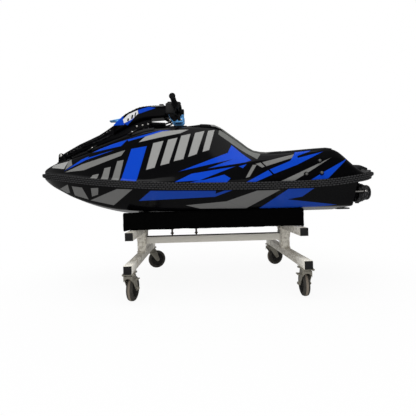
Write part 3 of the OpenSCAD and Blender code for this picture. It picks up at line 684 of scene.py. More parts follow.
def wrap(name, stripes, gloss, specular):
    """Gloss black moulding with a printed wrap on its outer sides."""
    material, n, surface, place = new_material(name)
    tints = colours()
    base = tints.black
    split = n.add("ShaderNodeSeparateXYZ", {0: place}).outputs
    height = n.math("SUBTRACT", split["Z"], KEEL)
    side = n.add("ShaderNodeCombineXYZ", {0: split["X"], 1: height, 2: 1.0}).outputs[0]
    below = n.mix(n.noise(place, 6.0), base, [c * 1.5 for c in base[:3]] + [1.0])
    ground = below
    for paint, *corners in stripes:
        edges = stripe_edges(corners)
        below = n.group(stripe_group(), below=below, paint=getattr(tints, paint), place=side, edge_a=edges[0],
                        edge_b=edges[1], edge_c=edges[2], edge_d=edges[3]).outputs[0]
    normal = n.add("ShaderNodeSeparateXYZ", {0: n.add("ShaderNodeTexCoord").outputs["Normal"]}).outputs
    outward = n.math("MULTIPLY", normal["Y"], n.math("SIGN", split["Y"]))
    seen = n.span(outward, 0.22, 0.26)
    printed = n.mix(seen, ground, below)
    soil = n.group(soil_group(), place=place, scale=4.0, cover=0.25).outputs[0]
    dusty = n.mix(n.math("MULTIPLY", soil, 0.02), printed, (0.3, 0.29, 0.27, 1))
    peel = n.group(grain_group(), place=place, fine=260.0, coarse=14.0).outputs[0]
    link(n, surface, Base_Color=dusty, Roughness=n.span(soil, 0, 1, gloss, gloss + 0.18),
         Specular_IOR_Level=specular, Normal=n.bump(peel, 0.05, 0.001))
    return material


def plain(name, tint, roughness, fine, depth, metallic=0.0, spread=0.25, soil=0.3, specular=0.5, wear=None):
    """A one-colour finish with grain, soil and, where wear gives a colour, rubbed edges."""
    material, n, surface, place = new_material(name)
    tint = tuple(getattr(colours(), tint)) if isinstance(tint, str) else srgb(*tint)
    dark = tuple(c * (1 - spread) for c in tint[:3]) + (1,)
    light = tuple(min(1, c * (1 + spread)) for c in tint[:3]) + (1,)
    shade = n.mix(n.noise(place, fine / 12, 4.0), dark, light)
    film = n.group(soil_group(), place=place, scale=7.0, cover=soil).outputs[0]
    shade = n.mix(n.math("MULTIPLY", film, soil * 0.4), shade, (0.20, 0.18, 0.15, 1))
    if wear:
        rubbed = n.group(wear_group(), place=place, scale=60.0, amount=0.8).outputs[0]
        shade = n.mix(rubbed, shade, srgb(*wear))
    grain = n.group(grain_group(), place=place, fine=fine, coarse=fine / 8).outputs[0]
    link(n, surface, Base_Color=shade, Metallic=metallic, Specular_IOR_Level=specular,
         Roughness=n.span(film, 0, 1, roughness, min(1, roughness + 0.2)), Normal=n.bump(grain, 0.3, depth))
    return material


@cache
def finish(name):
    """The named finish, made the first time that it is asked for."""
    if name in WRAPS:
        return wrap(name, *WRAPS[name])
    tint, roughness, fine, depth, others = FINISHES[name]
    return plain(name, tint, roughness, fine, depth, **others)


# Wraps: stripes, roughness and specular level
WRAPS = {
    "deck_wrap": (DECK_STRIPES, 0.10, 0.05),
    "hull_wrap": (HULL_STRIPES, 0.16, 0.12),
    "cover_wrap": (COVER_STRIPES, 0.14, 0.03),
}
# Plain finishes: paint or 8-bit screen colour, roughness, fineness and depth of the grain, and other settings
FINISHES = {
    "hood_gloss": ("black", 0.16, 220, 0.0002, dict(specular=0.05, soil=0.05)),
    "rail_rubber": ((52, 52, 53), 0.62, 700, 0.0004, dict(spread=0.3, specular=0.10)),
    "rail_groove": ((10, 10, 11), 0.7, 700, 0.0004, dict(specular=0.03, soil=0.1)),
    "knee_foam": ("foam", 0.85, 900, 0.0006, dict(specular=0.1)),
    "chin_foam": ((14, 14, 15), 0.7, 900, 0.0005, dict(specular=0.08, soil=0.1)),
    # Painted highlight: light grey for the top of the chin cushion's rear part, where light falls on it
    "chin_panel": ((132, 132, 130), 0.8, 900, 0.0005, dict(specular=0.1)),
    "mat_foam": ((34, 35, 36), 0.85, 900, 0.0006, dict(specular=0.08, soil=0.2)),
    "satin_black": ((5, 5, 7), 0.38, 420, 0.0002, dict(specular=0.05, soil=0.06, wear=(40, 40, 41))),
    "black_plastic": ((32, 32, 32), 0.5, 600, 0.0003, dict(specular=0.12, soil=0.2)),
    "grip_rubber": ((15, 15, 16), 0.75, 800, 0.0004, dict(specular=0.10, soil=0.15)),
    "anodised": ("anodised", 0.3, 500, 0.0001, dict(metallic=0.9, spread=0.15)),
    "bolt_steel": ((198, 196, 191), 0.28, 500, 0.0001, dict(metallic=1.0, spread=0.1)),
    "dull_steel": ((122, 121, 118), 0.4, 500, 0.0001, dict(metallic=0.9, spread=0.2)),
    "cast_dark": ((26, 26, 28), 0.36, 320, 0.0006, dict(metallic=0.4, spread=0.35, wear=(110, 110, 112))),
    "fitting": ((168, 104, 62), 0.35, 400, 0.0001, dict(metallic=0.8)),
    "cart_paint": ("cart", 0.45, 160, 0.0003, dict(spread=0.06, soil=0.28, wear=(150, 140, 124))),
    # Painted light: a lighter copy of the cart paint, for the ends of the lower tubes, which lie in light
    # outside the craft's shadow
    "sleeve_paint": ((250, 246, 235), 0.45, 160, 0.0003, dict(spread=0.05, soil=0.2)),
    # Dark brown rubber of the bunk studs; on the beam's strip it is painted shade
    "beam_rubber": ((52, 44, 38), 0.7, 500, 0.0003, dict(specular=0.1, soil=0.5)),
    "carpet": ((4, 4, 4), 0.95, 1100, 0.002, dict(spread=0.6, specular=0.02, soil=0.05)),
    "zinc": ((150, 146, 134), 0.42, 90, 0.0002, dict(metallic=0.5, spread=0.3, soil=0.6)),
    "tread": ((126, 117, 106), 0.8, 500, 0.0005, dict(spread=0.3, specular=0.1, soil=0.6)),
    "tyre": ((62, 60, 56), 0.7, 500, 0.0005, dict(spread=0.3, specular=0.15, soil=0.35)),
    "hub": ((42, 41, 39), 0.55, 420, 0.0003, dict(specular=0.2, soil=0.3)),
    "engine_alloy": ((120, 121, 124), 0.5, 300, 0.0006, dict(metallic=0.7)),
}


# Pieces

class DressOperator(bpy.types.Operator):
    """Base of the operators that dress one group of pieces."""
    bl_options = {"REGISTER", "UNDO"}

    def execute(self, context):
        self.dress(context)
        return {"FINISHED"}


def moulded(node, name):
    """A copy of a CAD moulding, smoothed along its length."""
    piece = node_copy(node, name)
    crease_along(piece)
    crease(piece, 32, 1.0)
    subdivide(piece, 2)
    return smooth(piece, 40)


def rounded(node, name, width, material, body, slot):
    """A dressed copy of a CAD node with its edges rounded."""
    piece = node_copy(node, name)
    bevel(piece, width, 2, 35)
    return dress(smooth(piece, 40), finish(material), body, slot, node)


def strew(name, template, places, material, body, slot, angle=40):
    """One dressed piece with a copy of the template at each place."""
    return dress(smooth(scatter(name, template, places), angle), finish(material), body, slot)


class CRAFT_OT_mouldings(DressOperator):
    """Smooths the hull, the deck and the hood, lays the wrap on them and straps the hood down"""
    bl_idname = "craft.mouldings"
    bl_label = "Mouldings"

    def dress(self, context):
        for node, material, slot in (("deck", "deck_wrap", "deck_black"), ("hull", "hull_wrap", "hull_black"),
                                     ("hood", "hood_gloss", "hood_black")):
            dress(moulded(node, node + "_moulding"), finish(material), ROOT, slot, node)
        straps, heads = [], []
        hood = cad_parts["hood"].data
        for x, y in ((0.660, 0.110), (0.420, 0.150)):
            for side in (-1, 1):
                point, normal = touch(hood, (x, side * y, 3), (0, 0, -1))
                strap = block("hood_strap", (-0.012, -0.032, -0.001), (0.012, 0.032, 0.005), 0.002)
                straps.append(settle(strap, aim(normal, point)))
                heads.append(aim(normal, point + normal * 0.004))
        dress(smooth(join("hood_straps", straps)), finish("grip_rubber"), ROOT, "rail_rubber")
        strew("hood_strap_studs", dome("stud", 0.006, 0.004), heads, "bolt_steel", ROOT, "bolt_steel")


def rail_path(node, count):
    """Evenly spaced points round the outer edge of a node swept round the craft, from the bow by port."""
    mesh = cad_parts[node].data
    ends = [(mesh.vertices[e.vertices[0]].co, mesh.vertices[e.vertices[1]].co) for e in mesh.edges]
    low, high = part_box(node)
    middle, half = (low.x + high.x) / 2, (high.x - low.x) / 2 - 0.0005
    stations = 160
    port = []
    for i in range(stations + 1):
        x = middle + half * math.cos(math.pi * i / stations)
        cuts = [a.lerp(b, (x - a.x) / (b.x - a.x)) for a, b in ends if (a.x - x) * (b.x - x) < 0]
        far = max(cuts, key=lambda p: p.y)
        near = [p.z for p in cuts if p.y > far.y - 0.014]
        port.append(Vector((x, far.y, (min(near) + max(near)) / 2)))
    loop = port + [Vector((p.x, -p.y, p.z)) for p in reversed(port)]
    loop.append(loop[0])
    walked = [0.0]
    for a, b in zip(loop, loop[1:]):
        walked.append(walked[-1] + (b - a).length)
    points, k = [], 0
    for i in range(count):
        along = walked[-1] * i / count
        while walked[k + 1] < along:
            k += 1
        points.append(loop[k].lerp(loop[k + 1], (along - walked[k]) / max(1e-9, walked[k + 1] - walked[k])))
    return points


def slim(x):
    """Share of its full height that the rub rail has at x: it runs out thin at the bow and at the stern."""
    return 1 - 0.5 * max(0.0, (abs(x) - 0.88) / 0.12)


class CRAFT_OT_rub_rail(DressOperator):
    """Sets rows of woven blocks on the rub rail"""
    bl_idname = "craft.rub_rail"
    bl_label = "Rub rail"

    def dress(self, context):
        rows, pitch, rise = sizes().weave_rows, sizes().weave_pitch, sizes().weave_rise
        girth = 4.95
        count = 2 * round(girth / pitch)
        points = rail_path("rub_rail", count)
        rail = node_copy("rub_rail", "rail_band")
        for corner in rail.data.vertices:
            near = min(points, key=lambda p: (p.xy - corner.co.xy).length_squared)
            corner.co.z = near.z + (corner.co.z - near.z) * slim(corner.co.x)
        dress(smooth(rail), finish("rail_groove"), ROOT, "rail_rubber", "rub_rail")
        rail_height = 0.038
        row_height = rail_height / rows
        template = block("rail_block", (-0.38 * pitch, -rise, -0.36 * row_height),
                         (0.38 * pitch, rise, 0.36 * row_height), 0.0014, 1)
        places = []
        for i in range(count):
            first_row = i % 2
            ahead, behind = points[(i + 1) % count], points[i - 1]
            along = (behind - ahead).normalized()
            out = Vector((-along.y, along.x, 0)).normalized()
            if out.dot(Vector((points[i].x * 0.2, points[i].y, 0))) < 0:
                out.negate()
            up = along.cross(out)
            if up.z < 0:
                up.negate()
            squeeze = slim(points[i].x)
            for row in range(first_row, rows, 2):
                height = (row - (rows - 1) / 2) * row_height * squeeze
                sink = 0.0012 if row in (0, rows - 1) else 0.0002
                turn = Matrix((along, out, up)).transposed().to_4x4() @ Matrix.Diagonal((1, 1, squeeze, 1))
                places.append(Matrix.Translation(points[i] + up * height - out * sink) @ turn)
        strew("rail_weave", template, places, "rail_rubber", ROOT, "rail_rubber", 30)


class CRAFT_OT_pads(DressOperator):
    """Makes the crowned chin cushion and the ribbed knee pad"""
    bl_idname = "craft.pads"
    bl_label = "Pads"

    def dress(self, context):
        chin = node_copy("chin_pad", "chin_cushion")
        chin_half, highlight_front = 0.24, -0.018
        bevel(chin, 0.004, 3)
        cut_rows(chin, (0, 1, 0), spaced(-chin_half, chin_half, 0.02))
        cut_rows(chin, (1, 0, 0), [highlight_front])
        crown(chin, 0.003, chin_half)
        smooth(chin, 50)
        dress(chin, finish("chin_foam"), ROOT, "pad_foam", "chin_pad")
        # Painted highlight: the upper faces behind the cut take a light grey, for the light on the cushion's
        # top
        chin.data.materials.append(finish("chin_panel"))
        for face in chin.data.polygons:
            face.material_index = int(face.center.x < highlight_front and face.normal.z > 0.1)
        self.lip(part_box("chin_pad")[1].x)
        knee = node_copy("bulkhead_pad", "knee_pad")
        bevel(knee, 0.003, 2)
        slope = Vector((0.79, 0, 0.61))
        pitch = sizes().rib_pitch
        low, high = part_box("bulkhead_pad")
        ends = [slope.dot(c) for c in (low, high)]
        rows = spaced(min(ends), max(ends), pitch / 2)
        cut_rows(knee, slope, rows)
        press_rows(knee, slope, rows, 0.0022)
        smooth(knee, 60)
        dress(knee, finish("knee_foam"), ROOT, "pad_foam", "bulkhead_pad")

    def lip(self, rear):
        """Foam lip that runs out on the deck ahead of the chin cushion."""
        rear, length, half = rear + 0.0005, 0.078, 0.168
        rear_rise, fall, sunk = 0.013, 0.009, 0.002
        lip = block("chin_lip", (rear, -half, 0), (rear + length, half, 1))
        cut_rows(lip, (0, 1, 0), spaced(-half, half, 0.021)[1:-1])
        cut_rows(lip, (1, 0, 0), spaced(rear, rear + length, 0.013)[1:-1])
        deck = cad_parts["deck"].data
        for corner in lip.data.vertices:
            ground, _ = touch(deck, (corner.co.x, corner.co.y, 3), (0, 0, -1))
            rise = rear_rise - fall * (corner.co.x - rear) / length
            corner.co.z = ground.z + (rise if corner.co.z > 0.5 else -sunk)
        bevel(lip, 0.0015, 2, 50)
        dress(smooth(lip), finish("chin_foam"), ROOT, "pad_foam")


class CRAFT_OT_mats(DressOperator):
    """Cuts the foam mats into grooved tiles and rows"""
    bl_idname = "craft.mats"
    bl_label = "Mats"

    def dress(self, context):
        pitch = sizes().mat_pitch
        diagonal = (math.sqrt(0.5), math.sqrt(0.5), 0), (math.sqrt(0.5), -math.sqrt(0.5), 0)
        across = ((1, 0, 0),)
        for node, name, ways in (("tray_mat", "tray_tiles", diagonal), ("tail_mat", "tail_ribs", across),
                                 ("gunwale_mats", "gunwale_ribs", across)):
            mat = node_copy(node, name)
            for way in ways:
                cut_rows(mat, way, spaced(-1.0, 1.0, pitch), MAT_JOIN)
            raise_tiles(mat, 0.0016, 0.0014)
            if node == "gunwale_mats":
                feather(mat, 0.030, 0.005)
            smooth(mat, 25)
            dress(mat, finish("mat_foam"), ROOT, "mat_foam", node)


class CRAFT_OT_footholds(DressOperator):
    """Rounds the footholds and gives their bolts domed heads on black washers"""
    bl_idname = "craft.footholds"
    bl_label = "Footholds"

    def dress(self, context):
        rounded("foot_holds", "foothold_shells", 0.003, "black_plastic", ROOT, "foothold_plastic")
        rounded("foothold_bolts", "foothold_washers", 0.001, "satin_black", ROOT, "black_metal")
        heads = []
        for centre, normal in bolt_tops(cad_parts["foothold_bolts"].data):
            heads.append(aim(normal, centre - normal * 0.004))
        strew("foothold_bolt_heads", dome("head", 0.0080, 0.008), heads, "dull_steel", ROOT, "bolt_steel", 50)


class CRAFT_OT_pole(DressOperator):
    """Dresses the steering pole, its bracket, its cover and what is bolted to them"""
    bl_idname = "craft.pole"
    bl_label = "Pole"

    def dress(self, context):
        for node, name, body, slot, material, width in (
                ("pole", "pole_beam", POLE_ARM, "pole_black", "satin_black", 0.003),
                ("pole_bracket", "bow_bracket", ROOT, "black_metal", "satin_black", 0.002),
                ("pole_stop", "pole_rest", ROOT, "black_metal", "grip_rubber", 0.002),
                ("pole_hook", "cover_hook", POLE_ARM, "anodised_blue", "anodised", 0.002),
                ("steering_tower", "tower_plates", POLE_ARM, "anodised_blue", "anodised", 0.0015)):
            rounded(node, name, width, material, body, slot)
        cover = moulded("pole_cover", "pole_shroud")
        dress(cover, finish("cover_wrap"), POLE_ARM, "cover_blue", "pole_cover")
        self.bolts()
        self.studs(cover.data)
        self.rivets()
        self.ribs()
        self.links()
        self.guards()

    def bolts(self):
        """Bright heads on the pole's sides, on the tower and on the bow pin."""
        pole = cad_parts["pole"].data
        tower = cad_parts["steering_tower"].data
        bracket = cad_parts["pole_bracket"].data
        arm, bow = [], []
        for side in (-1, 1):
            for mesh, places, x, z in (
                    (pole, arm, 414, 528), (pole, arm, 380, 534), (pole, arm, 348, 540),
                    (tower, arm, 150, 560), (tower, arm, 192, 560), (tower, arm, 214, 590),
                    (bracket, bow, 864, 366)):
                spot = on_craft(x, 0, z)
                point, normal = touch(mesh, (spot.x, side * 2, spot.z), (0, -side, 0))
                places.append(aim(normal, point - normal * 0.001))
        strew("pole_bolt_heads", dome("head", 0.006, 0.004), arm, "bolt_steel", POLE_ARM, "bolt_steel", 50)
        strew("bow_pin_heads", dome("pin", 0.009, 0.005), bow, "bolt_steel", ROOT, "bolt_steel", 50)

    def studs(self, cover):
        """Rows of grip studs on the cover's top, every second one shifted."""
        pitch = 0.018
        stud = block("stud", (-0.0035, -0.0035, -0.002), (0.0035, 0.0035, 0.0018), 0.0012, 1)
        places = []
        for i, x in enumerate(spaced(0.300, 0.500, 0.0105)):
            for y in spaced(-2 * pitch, 2 * pitch, pitch):
                point, normal = touch(cover, (x, y + pitch / 2 * (i % 2), 3), (0, 0, -1))
                places.append(aim(normal, point))
        strew("cover_studs", stud, places, "grip_rubber", POLE_ARM, "black_plastic", 30)

    def rivets(self):
        """Rivets along the pole's upper edges."""
        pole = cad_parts["pole"].data
        below_top = 0.022
        places = []
        for x in spaced(0.575, 0.835, 0.020):
            top, _ = touch(pole, (x, 0, 3), (0, 0, -1))
            for side in (-1, 1):
                point, normal = touch(pole, (x, side * 2, top.z - below_top), (0, -side, 0))
                places.append(aim(normal, point - normal * 0.0005))
        rivet = dome("rivet", 0.0032, 0.0022, 12)
        strew("pole_rivets", rivet, places, "dull_steel", POLE_ARM, "bolt_steel", 50)

    def ribs(self):
        """Ribs along the pole's sides, at shares of its depth."""
        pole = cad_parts["pole"].data
        ribs = []
        for side in (-1, 1):
            for share, radius in ((0.34, 0.0045), (0.62, 0.0055)):
                path = []
                for x in spaced(0.560, 0.830, 0.030):
                    top, _ = touch(pole, (x, 0, 3), (0, 0, -1))
                    foot, _ = touch(pole, (x, 0, 0), (0, 0, 1))
                    point, _ = touch(pole, (x, side * 2, top.z + (foot.z - top.z) * share), (0, -side, 0))
                    path.append(point)
                ribs += [rod("rib", a, b, radius, 12) for a, b in zip(path, path[1:])]
        dress(smooth(join("pole_side_ribs", ribs)), finish("satin_black"), POLE_ARM, "pole_black")

    def links(self):
        """Cap on the cover's end and stiff link rods under it."""
        seat = on_craft(268, 0, 655)
        low, high = seat + Vector((-0.013, -0.022, -0.006)), seat + Vector((0.013, 0.022, 0.010))
        cap = block("cover_cap", low, high, 0.003, 3)
        dress(smooth(cap), finish("black_plastic"), POLE_ARM, "black_plastic")
        rods = []
        for side in (-1, 1):
            for start, end, radius in (((340, 30, 545), (248, 30, 538), 0.0115),
                                       ((256, 30, 538), (212, 32, 552), 0.005),
                                       ((262, 20, 586), (206, 28, 553), 0.004)):
                a, b = (on_craft(x, side * y, z) for x, y, z in (start, end))
                rods.append(rod("link", a, b, radius, 14, 0.001))
        dress(smooth(join("tower_links", rods)), finish("satin_black"), POLE_ARM, "black_metal")

    def guards(self):
        """Black plates on the tower's sides."""
        guards = []
        for side in (-1, 1):
            near, far = sorted((side * 0.0462, side * 0.0490))
            guard = slab("guard", [(222, 597), (157, 597), (155, 556), (166, 552), (172, 562), (190, 549),
                                   (204, 558), (222, 586)], 1)
            settle(guard, Matrix.Translation((0, far, KEEL)) @ Matrix.Rotation(math.radians(90), 4, "X")
                   @ Matrix.Diagonal((MM, MM, far - near, 1)))
            guards.append(bevel(guard, 0.0006))
        dress(smooth(join("tower_guards", guards)), finish("satin_black"), POLE_ARM, "black_metal")


class CRAFT_OT_bars(DressOperator):
    """Dresses the handlebar, its clamp, its grips and its controls"""
    bl_idname = "craft.bars"
    bl_label = "Bars"

    def dress(self, context):
        for node, name, slot, material, width in (
                ("bar_clamp", "clamp_block", "black_metal", "satin_black", 0.003),
                ("handlebar", "bar_tube", "black_metal", "satin_black", 0.001),
                ("throttle_lever", "throttle_trigger", "black_plastic", "black_plastic", 0.0025),
                ("switch_box", "switch_housing", "black_plastic", "black_plastic", 0.0025)):
            rounded(node, name, width, material, BARS, slot)
        seat = on_craft(170, 0, 634)
        low, high = seat + Vector((-0.022, -0.036, -0.004)), seat + Vector((0.022, 0.036, 0.020))
        pad = block("bar_pad", low, high, 0.006, 3)
        stop = block("clamp_stop", on_craft(134, -18, 600), on_craft(148, 18, 632), 0.005, 3)
        dress(smooth(join("bar_pad", [pad, stop])), finish("grip_rubber"), BARS, "grip_rubber")
        lobe = block("switch_lobe", on_craft(182, 132, 568), on_craft(230, 168, 628), 0.008, 3)
        blade = block("switch_blade", on_craft(196, 140, 618), on_craft(220, 160, 636), 0.004, 2)
        dress(smooth(join("switch_lobe", [lobe, blade])), finish("black_plastic"), BARS, "black_plastic")
        self.grips()

    def grips(self):
        """Slim ribbed grips that flare at both ends."""
        corners = [v.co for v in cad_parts["grips"].data.vertices]
        sleeves, places = [], []
        for side in (-1, 1):
            reach = [c for c in corners if c.y * side > 0]
            near, far = min(abs(c.y) for c in reach), max(abs(c.y) for c in reach)
            inner = middle_of([c for c in reach if abs(c.y) < near + 0.006])
            outer = middle_of([c for c in reach if abs(c.y) > far - 0.006])
            along = outer - inner
            length = along.length
            sleeve = lathe("sleeve", [(0, 0), (0.0185, 0), (0.0185, 0.004), (0.0132, 0.008),
                                      (0.0128, length - 0.016), (0.0165, length - 0.003), (0.0150, length),
                                      (0, length)], 32)
            sleeves.append(settle(sleeve, aim(along, inner)))
            places += [aim(along, inner + along * t) for t in spaced(0.12, 0.84, 0.055)]
        dress(smooth(join("grip_sleeves", sleeves)), finish("grip_rubber"), BARS, "grip_rubber", "grips")
        radius = 0.0124
        ring = band("grip_ring", radius, radius + 0.0018, 0.0024, 0.0014, 24)
        strew("grip_rings", ring, places, "grip_rubber", BARS, "grip_rubber")


class CRAFT_OT_jet(DressOperator):
    """Dresses the pump, the nozzle and what lies under the stern"""
    bl_idname = "craft.jet"
    bl_label = "Jet"

    def dress(self, context):
        for node, name, body, slot, material, width in (
                ("pump_housing", "pump_casting", ROOT, "pump_alloy", "cast_dark", 0.0015),
                ("jet_cone", "jet_cone_casting", ROOT, "pump_alloy", "cast_dark", 0.0015),
                ("steering_nozzle", "nozzle_casting", "nozzle", "pump_alloy", "cast_dark", 0.0015),
                ("steering_rod", "nozzle_rod", "rod", "bright_steel", "bolt_steel", 0.001),
                ("impeller", "impeller_blades", "impeller_shaft", "bright_steel", "bolt_steel", 0.0008),
                ("intake_grate", "intake_bars", ROOT, "pump_alloy", "cast_dark", 0.002),
                ("ride_plate", "ride_board", ROOT, "black_metal", "satin_black", 0.0015),
                ("hose_fitting", "hose_tail", ROOT, "fitting_brass", "fitting", 0.001),
                ("engine", "engine_block", ROOT, "engine_alloy", "engine_alloy", 0.006)):
            rounded(node, name, width, material, body, slot)
        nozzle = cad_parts["steering_nozzle"].data
        low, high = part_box("pump_housing")
        axis = (low.z + high.z) / 2
        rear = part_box("steering_nozzle")[0].x
        rings = []
        for back in (0.006, 0.022, 0.038, 0.054):
            point, _ = touch(nozzle, (rear + back, -2, axis), (0, 1, 0))
            radius = abs(point.y)
            ring = band("ring", radius - 0.001, radius + 0.002, 0.003, 0.002, 40)
            rings.append(settle(ring, aim((-1, 0, 0), (rear + back, 0, axis))))
        dress(smooth(join("nozzle_ridges", rings)), finish("cast_dark"), "nozzle", "pump_alloy")
        flange_face = -0.7535
        reach = (high.y - low.y) / 2 - 0.007
        places = []
        for i in range(6):
            turn = math.radians(30 + 60 * i)
            spot = (flange_face, reach * math.cos(turn), axis + reach * math.sin(turn))
            places.append(aim((-1, 0, 0), spot))
        heads = scatter("flange_bolts", dome("hex", 0.0055, 0.0045, 6), places)
        dress(heads, finish("bolt_steel"), ROOT, "bolt_steel")


class CRAFT_OT_cart_frame(DressOperator):
    """Rounds and paints the cart's tubes and adds their sleeves, plates, welds and caps"""
    bl_idname = "craft.cart_frame"
    bl_label = "Cart frame"

    def dress(self, context):
        for node, name in (("cart_lower_tubes", "lower_tubes"), ("cart_posts", "middle_posts"),
                           ("cart_upper_tubes", "upper_tubes"), ("cart_beam", "long_beam")):
            rounded(node, name, 0.0022, "cart_paint", ROOT, "cart_paint")
        rounded("tube_caps", "tube_plugs", 0.0015, "black_plastic", ROOT, "black_plastic")
        rounded("bunk_bolts", "bunk_studs", 0.0005, "beam_rubber", ROOT, "bolt_steel")
        low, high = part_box("bunk_bolts")
        washer, drop = 0.011, 0.017
        tails = []
        for x in (low.x + washer, high.x - washer):
            for y in (low.y + washer, high.y - washer):
                tails.append(rod("tail", (x, y, low.z + 0.002), (x, y, low.z - drop), 0.0048, 14, 0.001))
                tails.append(rod("nut", (x, y, low.z - 0.004), (x, y, low.z - 0.011), 0.0095, 6))
        dress(smooth(join("bunk_stud_tails", tails)), finish("beam_rubber"), ROOT, "bolt_steel")
        low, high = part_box("cart_lower_tubes")
        tube = high.z - low.z
        runs = (high.x - tube / 2, low.x + tube / 2)
        over, length = 0.0012, sizes().sleeve_length
        sleeves, plates, beads = [], [], []
        for x in runs:
            for side in (-1, 1):
                near, far = sorted((side * (high.y - length), side * (high.y - 0.0005)))
                sleeves.append(block("sleeve", (x - tube / 2 - over, near, low.z - over),
                                     (x + tube / 2 + over, far, high.z + over), 0.0022))
            self.plates(x, plates)
            self.beads(x, beads)
        # Painted light: the sleeves take the lighter copy of the cart paint
        dress(smooth(join("tube_sleeves", sleeves)), finish("sleeve_paint"), ROOT, "cart_paint")
        dress(smooth(join("post_plates", plates)), finish("cart_paint"), ROOT, "cart_paint")
        strew("weld_beads", dome("bead", 0.0042, 0.0026, 8), beads, "cart_paint", ROOT, "cart_paint", 60)
        # Painted shade: a thin dark brown strip along the beam's top, for the shade on its upper face
        low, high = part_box("cart_beam")
        top = high.z - 0.012
        margin, half = 0.006, 0.019
        strip = block("beam_strip", (low.x + margin, -half, top - 0.0005),
                      (high.x - margin, half, top + 0.0022), 0.0008)
        dress(smooth(strip), finish("beam_rubber"), ROOT, "rail_rubber")

    def plates(self, x, plates):
        """Gusset plates round the top of the post at x."""
        half, wide = 0.025, 0.033
        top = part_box("cart_upper_tubes")[0].z
        for side in (-1, 1):
            face = side * half
            near, far = sorted((face, face + side * 0.004))
            outline = [(-wide, 0), (-half, -0.052), (half, -0.052), (wide, 0), (wide, 0.036), (-wide, 0.036)]
            plate = slab("plate", outline, far - near)
            settle(plate, Matrix.Translation((x, far, top)) @ Matrix.Rotation(math.radians(90), 4, "X"))
            plates.append(bevel(plate, 0.001))

    def beads(self, x, beads):
        """Welds round the foot and the head of the post at x."""
        low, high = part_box("cart_posts")
        half, pitch = 0.025, 0.0044
        for z, up in ((low.z, 1), (high.z, -1)):
            for t in spaced(-half, half, pitch):
                for ahead, aside, way in ((t, half, (0, 1, up)), (t, -half, (0, -1, up)),
                                          (half, t, (1, 0, up)), (-half, t, (-1, 0, up))):
                    beads.append(aim(way, (x + ahead, aside, z)))


class CRAFT_OT_bunks(DressOperator):
    """Wraps the bunks in carpet that sags a little along its lower edge"""
    bl_idname = "craft.bunks"
    bl_label = "Bunks"

    def dress(self, context):
        for node in ("bunk_left", "bunk_right"):
            bunk = node_copy(node, node + "_carpet")
            low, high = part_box(node)
            nap_depth, hem_height, end_reach, droop = 0.0010, 0.020, 0.035, 0.0075
            bevel(bunk, 0.010, 3, 25)
            shape(bunk, "REMESH", mode="VOXEL", voxel_size=sizes().carpet_voxel)
            for corner in bunk.data.vertices:
                place = corner.co.copy()
                nap = noise.noise(place * 26) * 0.0016 + noise.noise(place * 90) * 0.0008
                corner.co += corner.normal * (nap - nap_depth)
                hem = max(0.0, 1 - (place.z - low.z) / hem_height)
                end = max(0.0, 1 - min(place.x - low.x, high.x - place.x) / end_reach)
                sag = 0.0022 * (noise.noise(Vector((place.x * 9, 0.3, low.y))) + 0.25) + droop * end
                corner.co.z -= hem * max(-0.001, sag)
            smooth(bunk, 180)
            dress(bunk, finish("carpet"), ROOT, "bunk_carpet", node)


